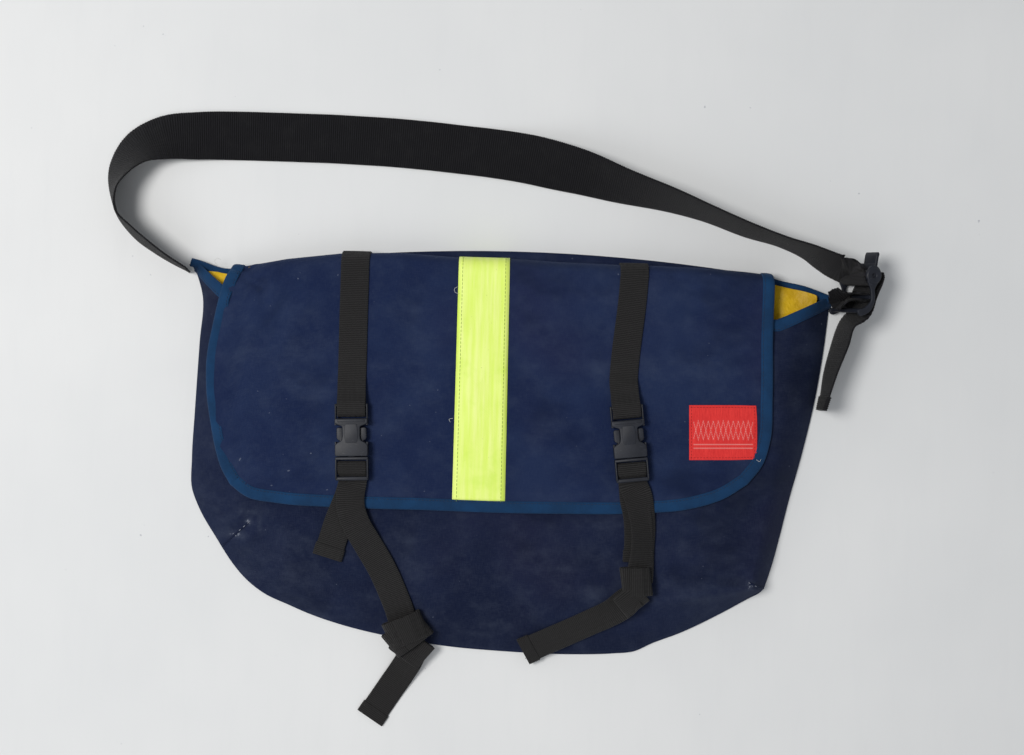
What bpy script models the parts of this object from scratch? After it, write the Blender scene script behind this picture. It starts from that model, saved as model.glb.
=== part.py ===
"""Messenger bag lying on its back, flap closed, shoulder strap spread behind it.

Run with: blender --background --python part.py

Frame, in metres: the origin is on the resting face under the middle of the back panel.
+X runs along the bag's width, +Y towards the mouth and the shoulder strap, and +Z up, out of
the bag's front. The flap hinges along X where the back panel folds up over the mouth.
"""

import bisect
import math

import bmesh
import bpy
from mathutils import Matrix, Vector

GAP = 0.0003

# Cloth thicknesses and the heights of the layers that lie on each other.
CANVAS = 0.0014
GUSSET_CANVAS = 0.0012
LINER = 0.0006
BINDING_THICKNESS = 0.0020
THIN_BINDING = 0.0013
BINDING_WIDTH = 0.0105
BACK_TOP = 0.0016
GUSSET_LOW = 0.0026
GUSSET_HIGH = 0.0276
GUSSET_ROUNDING = 1.6
FRONT_LOW = 0.0288
FRONT_HIGH = FRONT_LOW + CANVAS
FLAP_LOW = 0.0318
FLAP_HIGH = FLAP_LOW + CANVAS
ON_FLAP = FLAP_HIGH + GAP

# The line that the flap turns about, and the fold of the back panel below it.
HINGE_Y = 0.170
HINGE_Z = 0.0275
FLAP_TOP_Y = HINGE_Y - 0.001
FOLD_LEFT = -0.243
FOLD_RIGHT = 0.230
FOLD_INNER_Y = 0.1710
FOLD_TOP = 0.024

# Webbing.
FLAP_WEBBING = 0.025
SHOULDER_WEBBING = 0.044
CAM_ANCHOR_WEBBING = 0.037
WEBBING = 0.0016
SHOULDER_THICKNESS = 0.0018
STRIP_LEFT = -0.0475
STRIP_RIGHT = -0.0020
STRIP_END = -0.0375
STRIP_THICKNESS = 0.0004
LABEL_SIZE = (0.060, 0.0485)
LABEL_CENTRE = (0.1893, 0.0262)
LABEL_THICKNESS = 0.0007
LABEL_TURN = 1.4

# Side-release buckles, measured from the middle of the socket's mouth.
BUCKLE_HEIGHT = 0.0388
BUCKLE_WIDTH = 0.029
SOCKET_LENGTH = 0.0332
SOCKET_THICKNESS = 0.010
MOUTH_WIDTH = 0.0264
MOUTH_THICKNESS = 0.0064
MOUTH_DEPTH = 0.027
NOTCH_X = 0.0083
NOTCH_Y = (0.0129, 0.0269)
LOOP_END = 0.0462
LOOP_THICKNESS = 0.0052
BAR_THICKNESS = 0.0032
SLOT_WIDTH = 0.0258
PAST = 0.0012

# The plug: its ladder bars are what its two slots leave.
PLUG_START = -0.0004
PLUG_THICKNESS = 0.008
PLUG_LENGTH = 0.0183
LADDER_SLOTS = [(-0.0074, -0.0032), (-0.0183, -0.0122)]
MIDDLE_BAR_THICKNESS = 0.0030
END_BAR = ((-0.0213, -0.0010), (-0.0178, 0.0026))
TONGUE = (0.0064, 0.020, 0.0030)

# The two springy prongs, measured from their roots.
PRONG_THICKNESS = 0.0052
PRONG_ROOT_X = 0.009
ARM_HALF_WIDTH = 0.0014
ARM_END = 0.025
PAD_X = 0.0040
PAD_Y = (0.0140, 0.0255)
BUCKLES = {
    "left": {"mouth": (-0.1369, -0.0022), "turn": 2.0},
    "right": {"mouth": (0.1078, 0.0024), "turn": 6.5},
}

# Cam buckle of the shoulder strap: its pivot, the direction of its bars, and its cheeks.
CAM_PIVOT = Vector((0.3068, 0.1680, 0.0272))
CAM_BARS = Vector((0.30, -0.06, 0.95))
CAM_LENGTHWISE = Vector((0.03, 1.0, 0.0))
CHEEK_SPACING = 0.0452
CHEEK_THICKNESS = 0.0025
CAM_BARREL = 0.0050
CAM_PIN = 0.0017
CAM_FRAME_BARS = [(0.0, -0.0190, 0.0019), (-0.0095, -0.0315, 0.0021)]
CAM_THUMB = ((0.0016, 0.0020), (0.0044, 0.0235))

# Plan outlines on the floor, from the ears down to the bottom corners.
LEFT_EDGE = [(-0.2875, 0.168), (-0.279, 0.135), (-0.281, 0.097), (-0.284, 0.030),
             (-0.283, -0.035), (-0.274, -0.060), (-0.2515, -0.087)]
RIGHT_EDGE = [(0.287, 0.147), (0.281, 0.090), (0.274, 0.047), (0.264, 0.002),
              (0.247, -0.053), (0.239, -0.095), (0.230, -0.114)]
BOTTOM_EDGE = [(-0.2515, -0.087), (-0.246, -0.106), (-0.230, -0.123), (-0.194, -0.145),
               (-0.157, -0.157), (-0.107, -0.168), (-0.048, -0.179), (0.015, -0.1805),
               (0.088, -0.179), (0.117, -0.174), (0.159, -0.150), (0.208, -0.126),
               (0.230, -0.114)]
BACK_TOP_EDGE = [(0.236, 0.164), (0.229, 0.1740), (-0.241, 0.1740), (-0.250, 0.1655),
                 (-0.275, 0.1665)]

# Plan outlines of the raised front panel's seams.
FRONT_LEFT = [(-0.252, 0.142), (-0.250, 0.040), (-0.2245, -0.0635)]
FRONT_RIGHT = [(0.236, 0.122), (0.236, 0.020), (0.217, -0.111)]
FRONT_BOTTOM = [(-0.2245, -0.0635), (-0.156, -0.082), (-0.093, -0.094), (-0.022, -0.0985),
                (0.048, -0.0975), (0.119, -0.102), (0.173, -0.108), (0.217, -0.111)]

# Free edge of the flap, from its left top corner round to its right top corner.
FLAP_EDGE = [(-0.243, 0.169), (-0.250, 0.146), (-0.260, 0.114), (-0.2665, 0.079),
             (-0.269, 0.044), (-0.265, 0.012), (-0.253, -0.018), (-0.232, -0.040),
             (-0.200, -0.0465), (-0.100, -0.049), (0.047, -0.0495), (0.118, -0.048),
             (0.166, -0.0425), (0.197, -0.030), (0.220, -0.009), (0.231, 0.021),
             (0.2325, 0.060), (0.2325, 0.169)]

COLOURS = {
    "canvas": ((0.014, 0.024, 0.067), 0.85),
    "binding": ((0.008, 0.040, 0.110), 0.65),
    "lining": ((0.330, 0.180, 0.004), 0.55),
    "webbing": ((0.019, 0.019, 0.020), 0.80),
    "shoulder_webbing": ((0.013, 0.013, 0.016), 0.60),
    "reflective": ((0.680, 0.840, 0.160), 0.45),
    "label": ((0.620, 0.030, 0.030), 0.80),
    "plastic": ((0.040, 0.044, 0.055), 0.45),
}


# ---------------------------------------------------------------- scene and materials

def clear_scene():
    for obj in list(bpy.data.objects):
        bpy.data.objects.remove(obj, do_unlink=True)


def new_collection(name):
    collection = bpy.data.collections.new(name)
    bpy.context.scene.collection.children.link(collection)
    return collection


def new_material(name, colour, roughness):
    material = bpy.data.materials.new(name)
    material.use_nodes = True
    shader = material.node_tree.nodes["Principled BSDF"]
    shader.inputs["Base Color"].default_value = (*colour, 1.0)
    shader.inputs["Roughness"].default_value = roughness
    shader.inputs["Metallic"].default_value = 0.0
    return material


def finish(obj, slot):
    """Puts an object in the bag's collection with a material of its own."""
    for holder in list(obj.users_collection):
        holder.objects.unlink(obj)
    BAG.objects.link(obj)
    obj.data.materials.clear()
    obj.data.materials.append(new_material(obj.name, *COLOURS[slot]))
    return obj


def hide_as_helper(obj):
    for holder in list(obj.users_collection):
        holder.objects.unlink(obj)
    HELPERS.objects.link(obj)
    obj.hide_render = True
    obj.display_type = "WIRE"
    return obj


# ---------------------------------------------------------------- paths and outlines

def lengths(points):
    """Running length along a path."""
    total = [0.0]
    for a, b in zip(points, points[1:]):
        total.append(total[-1] + (Vector(b) - Vector(a)).length)
    return total


def at_share(points, share):
    """The point at a share of a path's length, from 0 to 1."""
    total = lengths(points)
    goal = share * total[-1]
    i = min(max(bisect.bisect_right(total, goal) - 1, 0), len(points) - 2)
    step = (goal - total[i]) / (total[i + 1] - total[i])
    return Vector(points[i]).lerp(Vector(points[i + 1]), step)


def smooth(points, per_span=4):
    """A Catmull-Rom curve through the points, of any dimension."""
    knots = [Vector(p) for p in points]
    knots = [2 * knots[0] - knots[1]] + knots + [2 * knots[-1] - knots[-2]]
    curve = []
    for p0, p1, p2, p3 in zip(knots, knots[1:], knots[2:], knots[3:]):
        for i in range(per_span):
            t = i / per_span
            bend = (2 * p0 - 5 * p1 + 4 * p2 - p3) * t ** 2
            bend += (3 * p1 - 3 * p2 + p3 - p0) * t ** 3
            curve.append(0.5 * (2 * p1 + (p2 - p0) * t + bend))
    return curve + [knots[-2]]


def side_step(points, distance):
    """The same plan path moved to its left by a distance."""
    moved = []
    for i, point in enumerate(points):
        ahead = Vector(points[min(i + 1, len(points) - 1)])
        behind = Vector(points[max(i - 1, 0)])
        along = (ahead - behind).normalized()
        moved.append(Vector(point) + Vector((-along.y, along.x)) * distance)
    return moved


# ---------------------------------------------------------------- solids

def mesh_object(name, mesh_builder):
    mesh = bpy.data.meshes.new(name)
    bm = bmesh.new()
    mesh_builder(bm)
    bm.to_mesh(mesh)
    bm.free()
    obj = bpy.data.objects.new(name, mesh)
    BAG.objects.link(obj)
    return obj


def outline_object(name, outline, thickness):
    """A flat piece cut to an outline in its own XY plane, thick to both sides of it."""
    curve = bpy.data.curves.new(name, "CURVE")
    curve.dimensions = "2D"
    curve.fill_mode = "BOTH"
    curve.extrude = thickness / 2
    spline = curve.splines.new("POLY")
    spline.points.add(len(outline) - 1)
    for target, point in zip(spline.points, outline):
        target.co = (point[0], point[1], 0.0, 1.0)
    spline.use_cyclic_u = True
    obj = bpy.data.objects.new(name, curve)
    BAG.objects.link(obj)
    return obj


def plate(name, slot, outline, low, thickness):
    """A flat piece cut to a plan outline, with its underside at a height."""
    obj = outline_object(name, outline, thickness)
    obj.location.z = low + thickness / 2
    return finish(obj, slot)


def band(name, slot, path, width, low, thickness):
    """A flat tape that follows a plan path, on the path's left side."""
    outline = list(path) + list(reversed(side_step(path, width)))
    return plate(name, slot, outline, low, thickness)


def sheet(name, slot, place, along, across, thickness):
    """A cloth surface: a grid whose points (u, v) from 0 to 1 go to place(u, v)."""
    def build(bm):
        bmesh.ops.create_grid(bm, x_segments=along, y_segments=across, size=0.5)
        for vertex in bm.verts:
            vertex.co = place(vertex.co.x + 0.5, vertex.co.y + 0.5)
        bmesh.ops.recalc_face_normals(bm, faces=bm.faces)

    obj = mesh_object(name, build)
    solidify = obj.modifiers.new("thickness", "SOLIDIFY")
    solidify.thickness = thickness
    solidify.offset = 0.0
    obj.data.shade_smooth()
    return finish(obj, slot)


def ribbon(name, slot, stations, width, thickness, per_span=3):
    """Flat webbing through stations of (centre, direction across the webbing)."""
    centres = smooth([centre for centre, _ in stations], per_span)
    across = smooth([direction for _, direction in stations], per_span)

    def place(u, v):
        i = round(u * (len(centres) - 1))
        return centres[i] + across[i].normalized() * width * (v - 0.5)

    return sheet(name, slot, place, len(centres) - 1, 1, thickness)


def box(name, low, high, bevel=0.0):
    """A block between two corners, in its parent's frame."""
    low, high = Vector(low), Vector(high)

    def build(bm):
        bmesh.ops.create_cube(bm, size=1.0)
        bmesh.ops.scale(bm, vec=high - low, verts=bm.verts)
        bmesh.ops.translate(bm, vec=(low + high) / 2, verts=bm.verts)
        if bevel:
            bmesh.ops.bevel(bm, geom=bm.edges[:], offset=bevel, segments=1, affect="EDGES")

    return mesh_object(name, build)


def rod(name, radius, ends, sides=12):
    """A round bar between two points, in its parent's frame."""
    start, end = Vector(ends[0]), Vector(ends[1])

    def build(bm):
        bmesh.ops.create_cone(bm, cap_ends=True, segments=sides, radius1=radius, radius2=radius,
                              depth=(end - start).length)
        turn = (end - start).to_track_quat("Z", "Y").to_matrix().to_4x4()
        bmesh.ops.transform(bm, matrix=Matrix.Translation((start + end) / 2) @ turn,
                            verts=bm.verts)

    return mesh_object(name, build)


def combine(target, others, operation):
    """Joins or cuts a mesh with helper meshes that share its frame."""
    for other in others:
        hide_as_helper(other)
        other.parent = target.parent
        modifier = target.modifiers.new(other.name, "BOOLEAN")
        modifier.operation = operation
        modifier.solver = "EXACT"
        modifier.object = other
    return target


def frame_empty(name, matrix, parent=None):
    empty = bpy.data.objects.new(name, None)
    BAG.objects.link(empty)
    empty.parent = parent
    empty.matrix_basis = matrix
    empty.empty_display_size = 0.02
    return empty


# ---------------------------------------------------------------- body of the bag

def gusset_point(low_path, high_path, u, v):
    """A point of a side wall, whose foot is on low_path and whose seam is on high_path.

    The wall stands steepest at the floor and rounds over towards the front panel.
    """
    foot = at_share(low_path, u)
    seam = at_share(high_path, u)
    plan = foot.lerp(seam, v)
    height = GUSSET_LOW + (GUSSET_HIGH - GUSSET_LOW) * (1 - (1 - v) ** GUSSET_ROUNDING)
    return Vector((plan.x, plan.y, height))


def gusset(name, low_path, high_path, start, end, along):
    """A side wall between two shares of its length."""
    return sheet(name, "canvas",
                 lambda u, v: gusset_point(low_path, high_path, start + (end - start) * u, v),
                 along, GUSSET_ROWS, GUSSET_CANVAS)


def inset_feet():
    """The walls' feet stand a little inside the back panel's edge."""
    left = side_step(LEFT_EDGE, 0.0015)
    right = side_step(RIGHT_EDGE, -0.0015)
    bottom = side_step(BOTTOM_EDGE, 0.0015)
    return left, right, bottom


# Where each side wall starts and ends, as shares of its edge, and where its bound ear ends.
GUSSET_ROWS = 5
GUSSET_SPANS = {"left": (0.052, 0.985), "right": (0.045, 0.985), "bottom": (0.008, 0.992)}
EAR_SHARES = {"left": 0.046, "right": 0.040}
EAR_TOP = 0.97


def build_body():
    back = LEFT_EDGE + BOTTOM_EDGE[1:] + RIGHT_EDGE[-2::-1] + BACK_TOP_EDGE
    plate("back_panel", "canvas", back, 0.0, BACK_TOP)
    front = FRONT_LEFT + FRONT_BOTTOM[1:] + FRONT_RIGHT[-2::-1]
    front[0] = (FRONT_LEFT[0][0], FRONT_LEFT[0][1] - BINDING_WIDTH - GAP)
    front[-1] = (FRONT_RIGHT[0][0], FRONT_RIGHT[0][1] - BINDING_WIDTH - GAP)
    plate("front_panel", "canvas", front, FRONT_LOW, CANVAS)
    left, right, bottom = inset_feet()
    gusset("gusset_left", left, FRONT_LEFT, *GUSSET_SPANS["left"], 12)
    gusset("gusset_right", right, FRONT_RIGHT, *GUSSET_SPANS["right"], 12)
    gusset("gusset_bottom", bottom, FRONT_BOTTOM, *GUSSET_SPANS["bottom"], 28)
    sheet("fold_wall", "canvas",
          lambda u, v: Vector((FOLD_LEFT + (FOLD_RIGHT - FOLD_LEFT) * u,
                               FOLD_INNER_Y + CANVAS / 2,
                               BACK_TOP + GAP + (FOLD_TOP - BACK_TOP - GAP) * v)),
          4, 1, CANVAS)


def build_bindings():
    left, right, _ = inset_feet()
    for side, feet, seams in (("left", left, FRONT_LEFT), ("right", right, FRONT_RIGHT)):
        sheet("ear_binding_" + side, "binding",
              lambda u, v, feet=feet, seams=seams, share=EAR_SHARES[side]:
              gusset_point(feet, seams, share * u, v * EAR_TOP),
              1, GUSSET_ROWS, THIN_BINDING)
    mouth = [(FRONT_RIGHT[0][0] - 0.001, FRONT_RIGHT[0][1]),
             (FRONT_LEFT[0][0] + 0.001, FRONT_LEFT[0][1])]
    band("mouth_binding", "binding", mouth, BINDING_WIDTH, FRONT_LOW, CANVAS)


BACK_LINING = [(-0.262, 0.158), (-0.264, 0.030), (-0.258, -0.040), (-0.225, -0.100),
               (-0.150, -0.138), (-0.050, -0.160), (0.080, -0.160), (0.150, -0.132),
               (0.205, -0.104), (0.228, -0.060), (0.250, 0.030), (0.262, 0.120),
               (0.262, 0.148), (0.222, 0.158)]
FRONT_LINING = [(-0.242, 0.129), (-0.240, 0.036), (-0.214, -0.052), (-0.150, -0.070),
                (-0.022, -0.0865), (0.119, -0.092), (0.206, -0.100), (0.224, 0.020),
                (0.224, 0.109)]


def build_lining():
    plate("lining_back", "lining", BACK_LINING, BACK_TOP + GAP, LINER)
    plate("lining_front", "lining", FRONT_LINING, FRONT_LOW - GAP - LINER, LINER)


# ---------------------------------------------------------------- flap

def build_flap():
    edge = smooth([Vector(p) for p in FLAP_EDGE], 2)
    inner = side_step(edge, BINDING_WIDTH + GAP)
    plate("flap_panel", "canvas", inner, FLAP_LOW, CANVAS)
    under = side_step(edge, BINDING_WIDTH + 0.003)
    plate("flap_lining", "lining", under, FLAP_LOW - GAP - LINER, LINER)
    middle = FLAP_LOW + CANVAS / 2
    band("flap_binding", "binding", edge, BINDING_WIDTH, middle - BINDING_THICKNESS / 2,
         BINDING_THICKNESS)
    strip = [(STRIP_LEFT, FLAP_TOP_Y), (STRIP_LEFT, STRIP_END), (STRIP_RIGHT, STRIP_END),
             (STRIP_RIGHT, FLAP_TOP_Y)]
    plate("reflective_strip", "reflective", strip, ON_FLAP, STRIP_THICKNESS)
    half_x, half_y = LABEL_SIZE[0] / 2, LABEL_SIZE[1] / 2
    corners = [(-half_x, -half_y), (half_x, -half_y), (half_x, half_y), (-half_x, half_y)]
    label = plate("label_patch", "label", corners, ON_FLAP, LABEL_THICKNESS)
    label.location.x, label.location.y = LABEL_CENTRE
    label.rotation_euler.z = math.radians(LABEL_TURN)


# ---------------------------------------------------------------- buckles and their webbing

def buckle_matrix(side):
    mouth = BUCKLES[side]["mouth"]
    turn = Matrix.Rotation(math.radians(BUCKLES[side]["turn"]), 4, "Z")
    return Matrix.Translation((*mouth, BUCKLE_HEIGHT)) @ turn


def build_socket(side):
    """The female half: a hollow shell open at its mouth, with a bar for the webbing."""
    parent = frame_empty("socket_frame_" + side, buckle_matrix(side))
    half, thick, bar = BUCKLE_WIDTH / 2, SOCKET_THICKNESS / 2, BAR_THICKNESS / 2
    socket = box("buckle_socket_" + side, (-half, 0.0, -thick), (half, SOCKET_LENGTH, thick),
                 0.0009)
    socket.parent = parent
    loop = box("loop_" + side, (-half, SOCKET_LENGTH - 0.003, -LOOP_THICKNESS / 2),
               (half, LOOP_END, LOOP_THICKNESS / 2))
    combine(socket, [loop], "UNION")
    reach, deep = SLOT_WIDTH / 2, thick + PAST
    cutters = [box("slot_" + side, (-reach, SOCKET_LENGTH + 0.0014, -deep),
                   (reach, LOOP_END - 0.003, deep)),
               box("trim_low_" + side, (-reach, LOOP_END - 0.004, -deep),
                   (reach, LOOP_END + PAST, -bar)),
               box("trim_high_" + side, (-reach, LOOP_END - 0.004, bar),
                   (reach, LOOP_END + PAST, deep)),
               box("cavity_" + side, (-MOUTH_WIDTH / 2, -PAST, -MOUTH_THICKNESS / 2),
                   (MOUTH_WIDTH / 2, MOUTH_DEPTH, MOUTH_THICKNESS / 2))]
    for sign in (-1, 1):
        low, high = sorted((sign * NOTCH_X, sign * BUCKLE_WIDTH))
        cutters.append(box(f"notch_{side}_{sign}", (low, NOTCH_Y[0], -deep),
                           (high, NOTCH_Y[1], deep)))
    combine(socket, cutters, "DIFFERENCE")
    return finish(socket, "plastic")


def build_plug(side):
    """The male half: a ladder lock with a guide tongue. Its two prongs are separate."""
    parent = frame_empty("plug_frame_" + side, buckle_matrix(side))
    half, thick, bar = BUCKLE_WIDTH / 2, PLUG_THICKNESS / 2, MIDDLE_BAR_THICKNESS / 2
    plug = box("buckle_plug_" + side, (-half, -PLUG_LENGTH, -thick), (half, PLUG_START, thick),
               0.0007)
    plug.parent = parent
    (bar_low_y, bar_low_z), (bar_high_y, bar_high_z) = END_BAR
    end_bar = box("end_bar_" + side, (-half, bar_low_y, bar_low_z), (half, bar_high_y, bar_high_z))
    tongue_width, tongue_end, tongue_thickness = TONGUE
    tongue = box("tongue_" + side, (-tongue_width / 2, -PAST, -tongue_thickness / 2),
                 (tongue_width / 2, tongue_end, tongue_thickness / 2))
    combine(plug, [end_bar, tongue], "UNION")
    reach, deep = SLOT_WIDTH / 2, thick + PAST
    cuts = [((-reach, low, -deep), (reach, high, deep)) for low, high in LADDER_SLOTS]
    middle_low, middle_high = LADDER_SLOTS[1][1] - 0.0004, LADDER_SLOTS[0][0] + 0.0004
    cuts.append(((-reach, middle_low, bar), (reach, middle_high, deep)))
    cuts.append(((-reach, middle_low, -deep), (reach, middle_high, -bar)))
    cutters = [box(f"ladder_{side}_{i}", low, high) for i, (low, high) in enumerate(cuts)]
    combine(plug, cutters, "DIFFERENCE")
    finish(plug, "plastic")
    for label, sign in (("a", -1), ("b", 1)):
        build_prong(side, label, sign)
    return plug


def build_prong(side, label, sign):
    """One springy arm with its thumb pad, turning about Z at its root."""
    name = f"buckle_prong_{side}_{label}"
    hinge = buckle_matrix(side) @ Matrix.Translation((sign * PRONG_ROOT_X, 0.0, 0.0))
    parent = frame_empty("prong_frame_" + side + label, hinge)
    half = PRONG_THICKNESS / 2
    arm_x = sorted((-sign * ARM_HALF_WIDTH, sign * ARM_HALF_WIDTH))
    pad_x = sorted((-sign * ARM_HALF_WIDTH, sign * PAD_X))
    prong = box(name, (arm_x[0], 0.0, -half), (arm_x[1], ARM_END, half))
    prong.parent = parent
    thumb = box(name + "_pad", (pad_x[0], PAD_Y[0], -half), (pad_x[1], PAD_Y[1], half), 0.0008)
    combine(prong, [thumb], "UNION")
    return finish(prong, "plastic")


def on_buckle(side, path):
    """Stations of webbing given as (along, height) in the buckle's frame."""
    matrix = buckle_matrix(side)
    across = matrix.to_3x3() @ Vector((1, 0, 0))
    return [(matrix @ Vector((0.0, along, height)), across) for along, height in path]


# Webbing round the socket's bar, from the flap down through the slot and back under itself.
SOCKET_LOOP = [(0.0700, -0.0045), (0.0655, -0.0041), (0.0620, -0.0029), (0.0580, -0.0023),
               (0.0510, 0.0006), (0.0472, 0.0026), (0.0446, 0.0029), (0.0422, 0.0022),
               (0.0411, 0.0), (0.0420, -0.0024), (0.0446, -0.0034), (0.0485, -0.0044),
               (0.0550, -0.0045), (0.0600, -0.0045)]

# Webbing over the plug's middle bar and out under its end bar.
LADDER_TURN = [(-0.0052, -0.0008), (-0.0053, 0.0014), (-0.0070, 0.0027), (-0.0098, 0.0028),
               (-0.0129, 0.0026), (-0.0150, 0.0008), (-0.0161, -0.0010), (-0.0185, -0.0023),
               (-0.0225, -0.0024)]

# The sewn length that feeds the ladder lock from below.
LADDER_FEED = [(-0.0052, -0.0014), (-0.0053, -0.0028), (-0.0070, -0.0042), (-0.0100, -0.0045),
               (-0.0220, -0.0045)]

FLAP_STRAP_X = {"left": -0.1388, "right": 0.1078}
ROOT_HEIGHTS = (BACK_TOP + GAP, 0.011, 0.020)


def build_flap_strap(side):
    """Webbing sewn down the flap, and the length of it that turns down the fold."""
    top_x = FLAP_STRAP_X[side]
    height = ON_FLAP + WEBBING / 2
    level = Vector((1, 0, 0))
    run = [(Vector((top_x, FLAP_TOP_Y, height)), level),
           (Vector((top_x, FLAP_TOP_Y - 0.030, height)), level)]
    loop = on_buckle(side, SOCKET_LOOP)
    halfway = (run[-1][0] + loop[0][0]) / 2
    halfway.z = height
    stations = run + [(halfway, level)] + loop
    ribbon("flap_strap_" + side, "webbing", stations, FLAP_WEBBING, WEBBING, 2)
    wall_y = FOLD_INNER_Y + CANVAS + GAP + WEBBING / 2
    root = [(Vector((top_x, wall_y, z)), level) for z in ROOT_HEIGHTS]
    ribbon("strap_root_" + side, "webbing", root, FLAP_WEBBING, WEBBING, 1)


# The loose tails below the ladder locks: centre line and the direction across the webbing.
TAILS = {
    "left": {
        "hang": [((-0.1345, -0.034, 0.0364), (1, 0.02, 0)),
                 ((-0.1335, -0.048, 0.0367), (1, 0.03, 0)),
                 ((-0.1300, -0.063, 0.0356), (1, 0.14, 0)),
                 ((-0.1190, -0.079, 0.0338), (1, 0.40, 0)),
                 ((-0.1060, -0.100, 0.0318), (1, 0.44, 0)),
                 ((-0.0940, -0.124, 0.0290), (1, 0.44, 0)),
                 ((-0.0870, -0.142, 0.0240), (1, 0.44, 0))],
        "knot": {"centre": (-0.0815, -0.157, 0.0217), "size": (0.036, 0.044, 0.014),
                 "turn": (20, 0, 26)},
        "end": [((-0.0780, -0.172, 0.0150), (0.88, -0.46, 0)),
                ((-0.0800, -0.186, 0.0078), (0.88, -0.46, 0)),
                ((-0.0900, -0.202, 0.0022), (0.88, -0.46, 0)),
                ((-0.1050, -0.221, 0.0012), (0.88, -0.46, 0)),
                ((-0.1180, -0.2385, 0.0012), (0.88, -0.46, 0))],
    },
    "right": {
        "hang": [((0.1140, -0.032, 0.0363), (1, 0.06, 0)),
                 ((0.1175, -0.045, 0.0367), (1, 0.04, 0)),
                 ((0.1200, -0.060, 0.0358), (1, 0.0, 0)),
                 ((0.1200, -0.075, 0.0350), (1, 0.0, 0)),
                 ((0.1190, -0.094, 0.0365), (1, 0.0, 0))],
        "knot": {"centre": (0.1155, -0.108, 0.0365), "size": (0.026, 0.036, 0.011),
                 "turn": (6, 0, -8)},
        "end": [((0.1140, -0.120, 0.0355), (0.50, 0.85, 0.10)),
                ((0.1000, -0.134, 0.0265), (0.40, 0.88, 0.28)),
                ((0.0750, -0.147, 0.0205), (0.40, 0.88, 0.32)),
                ((0.0480, -0.160, 0.0155), (0.40, 0.88, 0.34)),
                ((0.0240, -0.1715, 0.0115), (0.42, 0.88, 0.32))],
    },
}

# Where each anchor webbing goes after it leaves the ladder lock, to its sewn end.
ANCHORS = {
    "left": [((-0.1385, -0.035, 0.0346), (1, 0.02, 0)),
             ((-0.1430, -0.048, 0.0348), (0.98, -0.10, 0)),
             ((-0.1480, -0.061, 0.0336), (0.97, -0.18, 0)),
             ((-0.1520, -0.074, 0.0318), (0.97, -0.20, 0)),
             ((-0.1550, -0.084, 0.0314), (0.97, -0.22, 0)),
             ((-0.1575, -0.0925, 0.0302), (0.97, -0.22, 0))],
    "right": [((0.1120, -0.035, 0.0346), (1, 0.04, 0)),
              ((0.1150, -0.048, 0.0348), (1, 0.02, 0)),
              ((0.1165, -0.061, 0.0334), (1, 0.0, 0)),
              ((0.1170, -0.078, 0.0313), (1, 0.0, 0)),
              ((0.1170, -0.090, 0.0313), (1, 0.0, 0))],
}


def stations_of(rows):
    return [(Vector(centre), Vector(across)) for centre, across in rows]


def build_tail(side):
    """The free webbing with its overhand knot, as one piece."""
    tail = TAILS[side]
    hang = on_buckle(side, LADDER_TURN) + stations_of(tail["hang"])
    body = ribbon("strap_tail_" + side, "webbing", hang, FLAP_WEBBING, WEBBING, 2)
    size = Vector(tail["knot"]["size"]) / 2
    knot = box("knot_" + side, -size, size, size.z * 0.6)
    knot.location = tail["knot"]["centre"]
    knot.rotation_euler = [math.radians(angle) for angle in tail["knot"]["turn"]]
    end = ribbon("tail_end_" + side, "webbing", stations_of(tail["end"]), FLAP_WEBBING, WEBBING, 2)
    combine(body, [knot, end], "UNION")
    feed = on_buckle(side, LADDER_FEED) + stations_of(ANCHORS[side])
    ribbon("anchor_strap_" + side, "webbing", feed, FLAP_WEBBING, WEBBING, 2)


# ---------------------------------------------------------------- shoulder strap

# Centre line of the spread strap and the direction across it, pointing to its raised edge.
SHOULDER_ROUTE = [
    ((-0.2915, 0.1605, 0.0230), (0.05, 0.08, 1.0)),
    ((-0.3050, 0.1680, 0.0230), (0.06, 0.12, 1.0)),
    ((-0.3220, 0.1790, 0.0228), (0.08, 0.18, 1.0)),
    ((-0.3390, 0.1920, 0.0225), (0.12, 0.20, 1.0)),
    ((-0.3525, 0.2070, 0.0225), (0.20, 0.05, 1.0)),
    ((-0.3565, 0.2270, 0.0215), (0.36, -0.06, 0.95)),
    ((-0.3515, 0.2490, 0.0185), (0.62, -0.30, 0.80)),
    ((-0.3370, 0.2680, 0.0140), (0.55, -0.60, 0.52)),
    ((-0.3150, 0.2780, 0.0085), (0.22, -0.90, 0.30)),
    ((-0.2850, 0.2815, 0.0040), (0.06, -1.0, 0.10)),
    ((-0.2500, 0.2825, 0.0016), (0.0, -1.0, 0.0)),
    ((-0.1950, 0.2820, 0.0014), (-0.01, -1.0, 0.0)),
    ((-0.1400, 0.2810, 0.0014), (-0.05, -1.0, 0.0)),
    ((-0.0850, 0.2780, 0.0014), (-0.10, -1.0, 0.0)),
    ((-0.0330, 0.2735, 0.0014), (-0.14, -1.0, 0.0)),
    ((0.0130, 0.2670, 0.0036), (-0.26, -0.97, 0.10)),
    ((0.0580, 0.2560, 0.0095), (-0.34, -0.87, 0.36)),
    ((0.0990, 0.2430, 0.0155), (-0.34, -0.72, 0.66)),
    ((0.1380, 0.2320, 0.0195), (-0.28, -0.58, 0.80)),
    ((0.1720, 0.2205, 0.0211), (-0.22, -0.43, 0.89)),
]

# The last length, from there to the cam buckle, which the buckle holds in place.
BUCKLE_END_ROUTE = [
    ((0.1770, 0.2188, 0.0212), (-0.22, -0.42, 0.90)),
    ((0.2100, 0.2060, 0.0222), (-0.12, -0.26, 0.96)),
    ((0.2420, 0.1960, 0.0225), (-0.02, -0.10, 1.0)),
    ((0.2640, 0.1890, 0.0228), (0.10, 0.06, 1.0)),
    ((0.2810, 0.1825, 0.0234), (0.22, 0.04, 0.96)),
    ((0.2960, 0.1775, 0.0244), (0.30, -0.05, 0.95)),
]

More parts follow.
